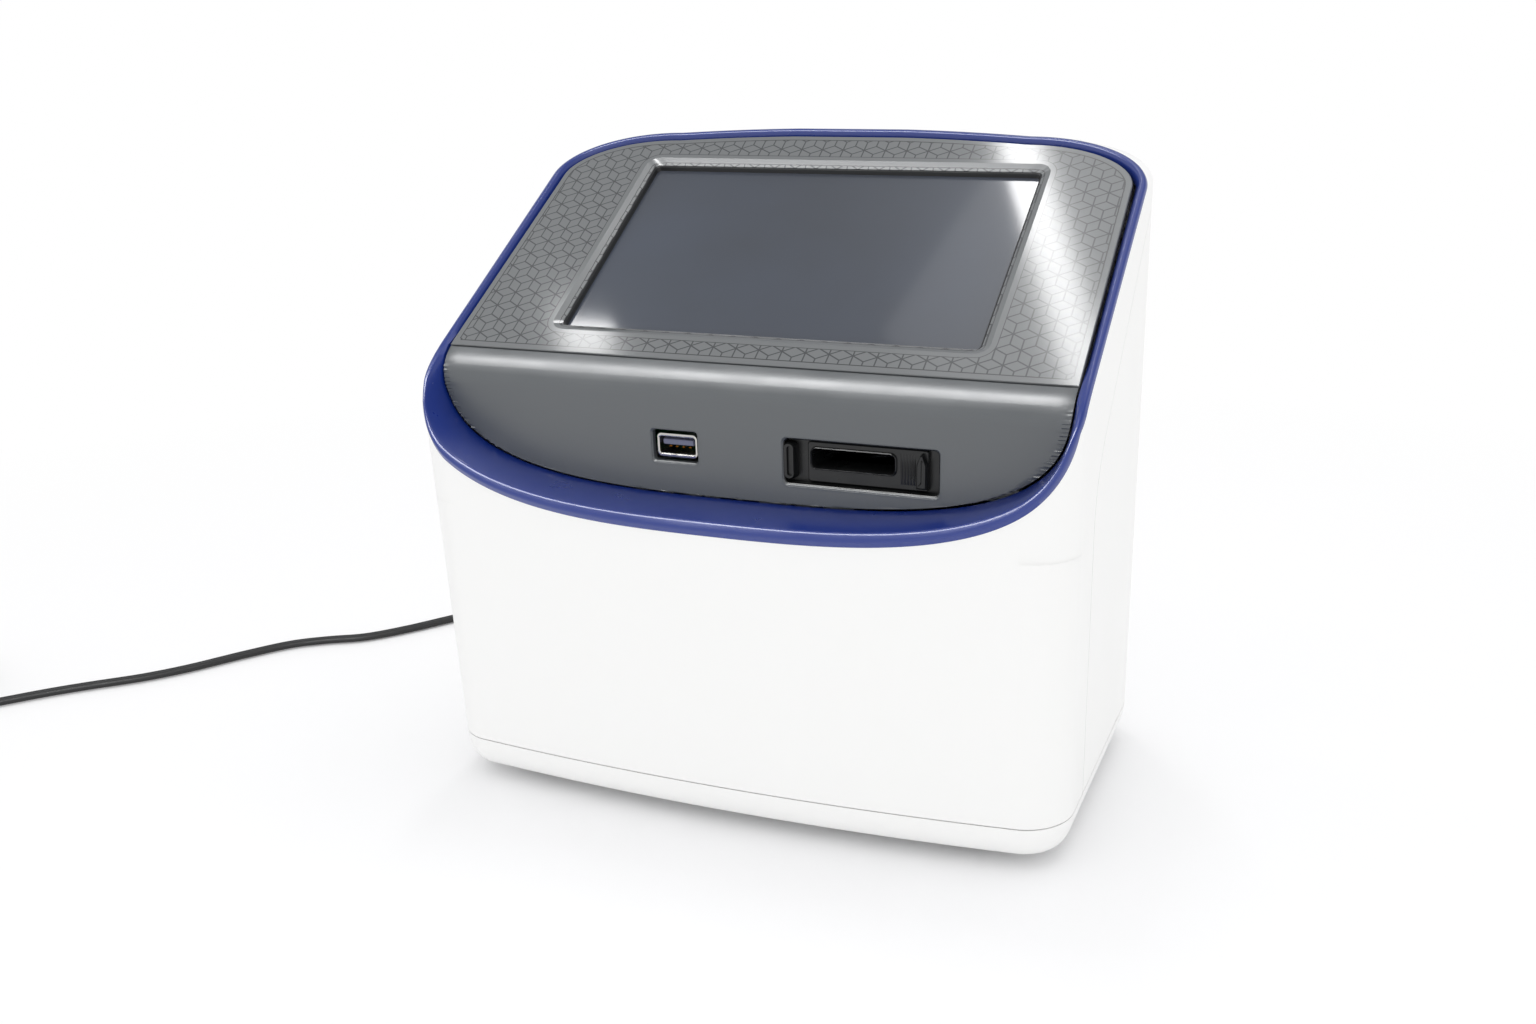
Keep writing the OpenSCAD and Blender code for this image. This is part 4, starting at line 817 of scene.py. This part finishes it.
solder_mask = finish("green_solder_mask", tint=(2.2, "#0e4a28", "#1c6b3e"), Coat_Weight=0.5,
                     Coat_Roughness=0.15, Roughness=0.4)
refinish(solder_mask, "usb_board", "main_board")

# Slide port: a black insert with a raised plate, a rounded slot and its channel, fine grip ribs
# beside the slot, and two guides that centre the slide. Their black is set darker than the other
# black mouldings as painted shade, so that the lit walls inside the slot's channel read dark.
port_x, port_z, port_back = 42.3, 126.4, -45.1
slot_x, slot_z, slot_w, slot_h = 39.3, 127.6, 27.4, 6.0
plate_x = port_x + 1.7
plate_front, channel_end = port_back - 1.5, port_back + 18
# The port's own black, made darker still as painted shade for the inside of the slot's channel.
insert_black_and_painted_shade = finish("moulded_black_with_painted_shade", (0.3, 0.005), (6, 0.26, 0.4), Base_Color="#121314",
                    IOR=1.5)
insert = lofted("slide_port_insert", (
    grown(slot_x, slot_z, slot_w, slot_h, (0, 1.5, channel_end), (0, 1.5, port_back - 1.2),
          (0.2, 1.6, port_back - 2.0), (0.6, 1.8, port_back - 2.2), (1.2, 2.1, port_back - 2.0),
          (1.5, 2.2, plate_front))
    + about(plate_x, port_z, port_back, (39.4, 12.3, 0.8, -1.5), (40.0, 12.9, 1.0, -1.2),
            (40.0, 12.9, 1.0, 0))
    + [(port_x, port_z, 50.6, 13.6, 1.2, port_back)]
    + about(port_x, port_z, face, (51.0, 14.2, 1.6, 0.7), (51.5, 14.7, 1.8, 0.5),
            (51.6, 14.8, 1.8, 2.0))
    + [(port_x, port_z, 51.6, 14.8, 1.8, port_back + 1.2)]
    + grown(slot_x, slot_z, slot_w, slot_h, (2.4, 2.4, port_back + 1.2),
            (2.4, 2.4, channel_end))), 10)
wear(insert, insert_black_and_painted_shade, "black_moulding", "slide_port")
rib_x, rib_z, rib_run, rib_h, rib_pitch, rib_depth = 54.8, 121.6, 5.0, 9.6, 1.0, 0.35
ribs_x = np.linspace(rib_x, rib_x + rib_run, 61)
ribs_z = np.linspace(rib_z, rib_z + rib_h, 9)[:, None]
fade = np.sin(math.pi * np.clip((ribs_z - rib_z) / rib_h, 0, 1)) ** 0.3
wave = 0.5 - 0.5 * np.cos(2 * math.pi * (ribs_x - rib_x) / rib_pitch)
rib_front = grid_of(ribs_x, plate_front - rib_depth * fade * wave, ribs_z)
rib_back = grid_of(ribs_x, port_back - 1.3, ribs_z)
rib_sheet = np.concatenate([rib_back[:1], rib_front, rib_back[-1:], rib_back[:1]])
wear(turned_out(skin("slide_grip_ribs", [rib_sheet])), insert_black_and_painted_shade, "black_moulding", "slide_port")
clip_x, clip_front = 18.3, face + 0.3
clip = lofted("slide_clip_left", (
    about(clip_x, port_z, port_back, (0.5, 9.2, 0.2, 0), (4.2, 12.0, 1.6, 0))
    + about(clip_x, port_z, clip_front, (4.0, 11.8, 1.7, 0.9), (3.2, 11.0, 1.5, 0))
    + about(clip_x + 0.3, port_z, clip_front, (1.9, 9.6, 0.9, 0), (1.5, 9.2, 0.7, 0.9),
            (0.1, 0.1, 0.02, 0.9))))
wear(clip, insert_black_and_painted_shade, "black_moulding", "slide_guides")


def house(w, h, tip):
    """Outline of a post with a pointed top as (x, z) points: a rectangle under a triangle."""
    corners = np.array([[w / 2, h / 2 - tip], [0.3, h / 2], [-0.3, h / 2], [-w / 2, h / 2 - tip],
                        [-w / 2, -h / 2], [w / 2, -h / 2], [w / 2, h / 2 - tip]])
    return even(corners, 49)


post_x = 62.1
post_rows = [(0.4, 8.0, 0.2, plate_front), (3.6, 11.2, 3.4, plate_front),
             (3.5, 11.0, 3.4, face + 1.2), (2.5, 9.8, 2.8, face + 0.5),
             (0.2, 7.0, 0.1, face + 0.5)]
post_rings = [np.insert(house(w, h, tip) + (post_x, port_z), 1, y, axis=1)
              for w, h, tip, y in post_rows]
post = turned_out(skin("slide_post_right", [np.stack(post_rings + post_rings[:1])], sharp=25))
wear(post, insert_black_and_painted_shade, "black_moulding", "slide_guides")
refinish(black_abs, "switch_frame", "rocker", "power_inlet", "cord_tie")

# Frame and optics: clear anodised aluminium, black anodised parts, ground steel shafts, and turned
# brass spacers under the main board. Screws, dowels and preload hold them to the chassis.
clear_anodised = finish("clear_anodised_aluminium", (0.5, 0.004, (6, 1, 1)), (10, 0.3, 0.42),
                        Base_Color="#c3c5c8", Metallic=1.0)
black_anodised = finish("black_anodised_aluminium", (0.4, 0.004), (6, 0.36, 0.5),
                        Base_Color="#17181a", Metallic=0.6)
ground_steel = finish("ground_steel_shaft", (0.2, 0.002, (1, 12, 1)), (4, 0.14, 0.24),
                      Base_Color="#a8abad", Metallic=1.0)
turned_brass = finish("turned_brass", gloss=(1.5, 0.18, 0.34), Base_Color="#c9a24a", Metallic=1.0)
refinish(clear_anodised, "optics_frame", "lamp_arm", "cube_carriage", "focus_carriage")
refinish(black_anodised, "slide_stage", "lamp", "camera", "light_cube_a", "light_cube_b",
         "focus_motor", "heat_sink")
refinish(ground_steel, "cube_rails", "focus_rail", "actuator_shaft")
refinish(nickel, "objective")
refinish(turned_brass, "board_spacers", "inlet_pins", "plug_blades")

# Power lead: a flat twin flex in soft black PVC, from the connector over the table to a tied coil
# and a two-blade plug. Its section is two round cores side by side, w = 5.3 and h = 3.0 mm.
soft_pvc = finish("soft_black_pvc", (0.6, 0.006), (8, 0.42, 0.58), Base_Color="#1a1a1b", IOR=1.5)
cord_w, cord_t, lying = 5.3, 3.0, 1.7
hanging = [(-74, 114.1, 40), (-75, 127, 36), (-80, 140, 29), (-90, 151, 20), (-105, 158, 11),
           (-124, 157, 5)]
on_table = [(-143, 149), (-162, 134), (-180, 114), (-196, 92), (-210, 70), (-221, 52), (-233, 37),
            (-247, 28), (-259, 18), (-270, 1), (-281, -19), (-292, -34), (-306, -48), (-317, -60),
            (-328, -74), (-341, -89), (-354, -104)]
route = np.array(hanging + [(x, y, lying) for x, y in on_table], float)


def smooth(points, parts):
    """A Catmull-Rom curve through the points, with that many steps between neighbours."""
    p = np.concatenate([points[:1], points, points[-1:]])
    a, b, c, d = (p[k:len(p) - 3 + k, None] for k in range(4))
    t = (np.arange(parts) / parts)[None, :, None]
    curve = 0.5 * (2 * b + (c - a) * t + (2 * a - 5 * b + 4 * c - d) * t * t
                   + (3 * b - a - 3 * c + d) * t ** 3)
    return np.concatenate([curve.reshape(-1, 3), points[-1:]])


# The coil's turns lie three high and two wide: outer and inner turns by their place (radius,
# height). Over the last 120 degrees of each turn the cord moves to the next one's place, with a
# hump where it crosses another turn.
heading = route[-1] - route[-2]
heading /= np.linalg.norm(heading)
coil_r, turn_gap, layer = 29.0, 0.3, 3.3
outer_r, inner_r = (coil_r + side * (cord_w + turn_gap) / 2 for side in (1, -1))
coil_centre = route[-1] + outer_r * np.array([heading[1], -heading[0], 0])
places = np.array([[outer_r, lying], [inner_r, lying], [inner_r, lying + layer],
                   [outer_r, lying + layer], [inner_r, lying + 2 * layer],
                   [outer_r, lying + 2 * layer]])
humps = np.array([0, 0, 0.4, 1.5, 2.9, 0])
start_angle = math.atan2(-heading[0], heading[1]) + math.pi
last_turn = (start_angle + math.pi / 2) % (2 * math.pi)
sweep = np.linspace(0, 10 * math.pi + last_turn, 420)
lap = np.minimum((sweep / (2 * math.pi)).astype(int), 5)
shift = np.clip((sweep - lap * 2 * math.pi) * 1.5 / math.pi - 2, 0, 1)
ease = shift * shift * (3 - 2 * shift)
after = np.minimum(lap + 1, 5)
radius, height = (places[lap] * (1 - ease[:, None]) + places[after] * ease[:, None]).T
height = height + humps[lap] * np.sin(math.pi * shift) ** 2
coil = coil_centre * [1, 1, 0] + np.stack([radius * np.cos(start_angle - sweep),
                                           radius * np.sin(start_angle - sweep), height], -1)
tail = coil[-1] + np.array([[-7, 0, -0.1], [-14, 0, -0.2], [-20, 0, -0.3]])
cord_line = np.concatenate([smooth(route, 6)[:-1], coil, tail])


def flat_twin(line):
    """Rings of the flex: side 2.65 cos(q), up 1.5 sin(q)^0.8 with a groove between the cores,
    across the line's horizontal normal and square to it."""
    q = np.linspace(0, 2 * math.pi, 25)
    across = cord_w / 2 * np.cos(q)
    tall = cord_t / 2 * np.sign(np.sin(q)) * np.abs(np.sin(q)) ** 0.8
    tall = tall * (1 - 0.22 * np.exp(-(across / 0.55) ** 2))
    t = np.gradient(line, axis=0)
    t /= np.linalg.norm(t, axis=1, keepdims=True)
    s = np.cross(t, [0, 0, 1])
    s /= np.linalg.norm(s, axis=1, keepdims=True)
    u = np.cross(s, t)
    rings = line[:, None] + s[:, None] * across[None, :, None] + u[:, None] * tall[None, :, None]
    return np.concatenate([np.repeat(line[:1, None], 25, 1), rings,
                           np.repeat(line[-1:, None], 25, 1)])


cord_piece = turned_out(skin("power_cord", [flat_twin(cord_line)], sharp=60))
wear(cord_piece, soft_pvc, "cord_rubber", "cord", "cord_coil")
refinish(soft_pvc, "cord_connector", "strain_relief", "mains_plug")


# Table: a pale top that takes a soft contact shadow round the instrument and turns to pure white
# further out.
table_white = finish("pale_table", (3, 0.01), Base_Color="#f6f6f7", Roughness=0.7)
tree = table_white.node_tree
flat = vector_maths(tree, "MULTIPLY", add(tree, "ShaderNodeTexCoord").outputs["Object"],
                    (1.0, 1.0, 0.0))
reach = vector_maths(tree, "LENGTH", flat, out="Value")
glow = add(tree, "ShaderNodeEmission", Strength=1.0)
top = add(tree, "ShaderNodeMixShader", [("Fac", ranged(tree, reach, 0.14, 0.75)), (1, tree.nodes[
    "Principled BSDF"].outputs[0]), (2, glow.outputs[0])])
tree.links.new(top.outputs[0], tree.nodes["Material Output"].inputs["Surface"])
bpy.ops.mesh.primitive_plane_add(size=30, location=(0, 0, 0))
table = bpy.context.object
table.name = "table_top"
table.data.materials.append(table_white)

# Studio: a white surround. Reflections see it darken towards the ceiling, which gives the glossy
# faces their depth, and the camera sees pure white.
world = bpy.data.worlds.new("studio")
bpy.context.scene.world = world
world.use_nodes = True
tree = world.node_tree
surround = tree.nodes["Background"]
surround.inputs["Color"].default_value = (1, 1, 1, 1)
surround.inputs["Strength"].default_value = 0.95
white = add(tree, "ShaderNodeBackground", Color=(1, 1, 1, 1), Strength=1.0)
rays = add(tree, "ShaderNodeLightPath")
rise = add(tree, "ShaderNodeSeparateXYZ", [
    ("Vector", add(tree, "ShaderNodeTexCoord").outputs["Generated"])])
ceiling = add(tree, "ShaderNodeBackground",
              [("Strength", ranged(tree, rise.outputs["Z"], 0.1, 0.85, 1.0, 0.32))],
              Color=(0.96, 0.98, 1, 1))
reflected = add(tree, "ShaderNodeMixShader", [("Fac", rays.outputs["Is Glossy Ray"]),
                                              (1, surround.outputs[0]), (2, ceiling.outputs[0])])
seen = add(tree, "ShaderNodeMixShader", [("Fac", rays.outputs["Is Camera Ray"]),
                                         (1, reflected.outputs[0]), (2, white.outputs[0])])
tree.links.new(seen.outputs[0], tree.nodes["World Output"].inputs["Surface"])


def lamp(name, place, size, power, aim=None, spin=0.0):
    """A soft rectangular light at place that faces aim, or straight down with that spin."""
    data = bpy.data.lights.new(name, "AREA")
    data.shape = "RECTANGLE"
    data.size, data.size_y = size
    data.energy = power
    holder = bpy.data.objects.new(name, data)
    bpy.context.scene.collection.objects.link(holder)
    holder.location = place
    holder.rotation_euler = (0, 0, spin)
    if aim:
        d = np.array(aim) - np.array(place)
        holder.rotation_euler = (math.acos(-d[2] / np.linalg.norm(d)), 0,
                                 math.atan2(d[1], d[0]) - math.pi / 2)
    return holder


# Lights: two soft ones for the whole, one that only shows as the soft band along the fascia's bend
# and the rim's crest, and two small ones whose images show in the overlay and the glass.
part_middle = (0, 0, 0.1)
lamp("overhead_softbox", (0.25, 0.35, 1.5), (1.2, 0.9), 2.4, part_middle)
lamp("front_fill", (0.6, -1.5, 0.8), (1.2, 1.0), 2.3, part_middle)
bend_softbox = lamp("bend_softbox", (-0.56, -0.73, 1.25), (1.3, 0.55), 30.0)
bend_softbox.visible_diffuse = False
lamp("strip_light", (-0.150, 0.330, 1.2), (0.042, 0.36), 0.7, spin=math.atan2(0.40, 0.92))
lamp("patch_light", (-0.705, 0.212, 1.2), (0.07, 0.045), 0.16)

# Camera: a short telephoto at the height of a standing user's eye line to the bench.
target = np.array([31.6, 3.1, 42.6]) / 1000
azimuth, elevation, distance = math.radians(19.424), math.radians(22.328), 0.5043
picture_w, picture_h = 1536, 1024
focal_length, axis_x, axis_y = 1369.6, 883.16, 653.62
away = np.array([math.sin(azimuth) * math.cos(elevation), -math.cos(azimuth) * math.cos(elevation),
                 math.sin(elevation)])
camera_data = bpy.data.cameras.new("camera")
camera_data.sensor_width = 36
camera_data.lens = focal_length * camera_data.sensor_width / picture_w
camera_data.shift_x = (picture_w / 2 - axis_x) / picture_w
camera_data.shift_y = (axis_y - picture_h / 2) / picture_w
camera_data.clip_start = 0.01
camera = bpy.data.objects.new("camera", camera_data)
bpy.context.scene.collection.objects.link(camera)
camera.location = target + away * distance
camera.rotation_euler = (math.pi / 2 - elevation, 0, azimuth)
bpy.context.scene.camera = camera
bpy.context.scene.view_settings.view_transform = "Standard"
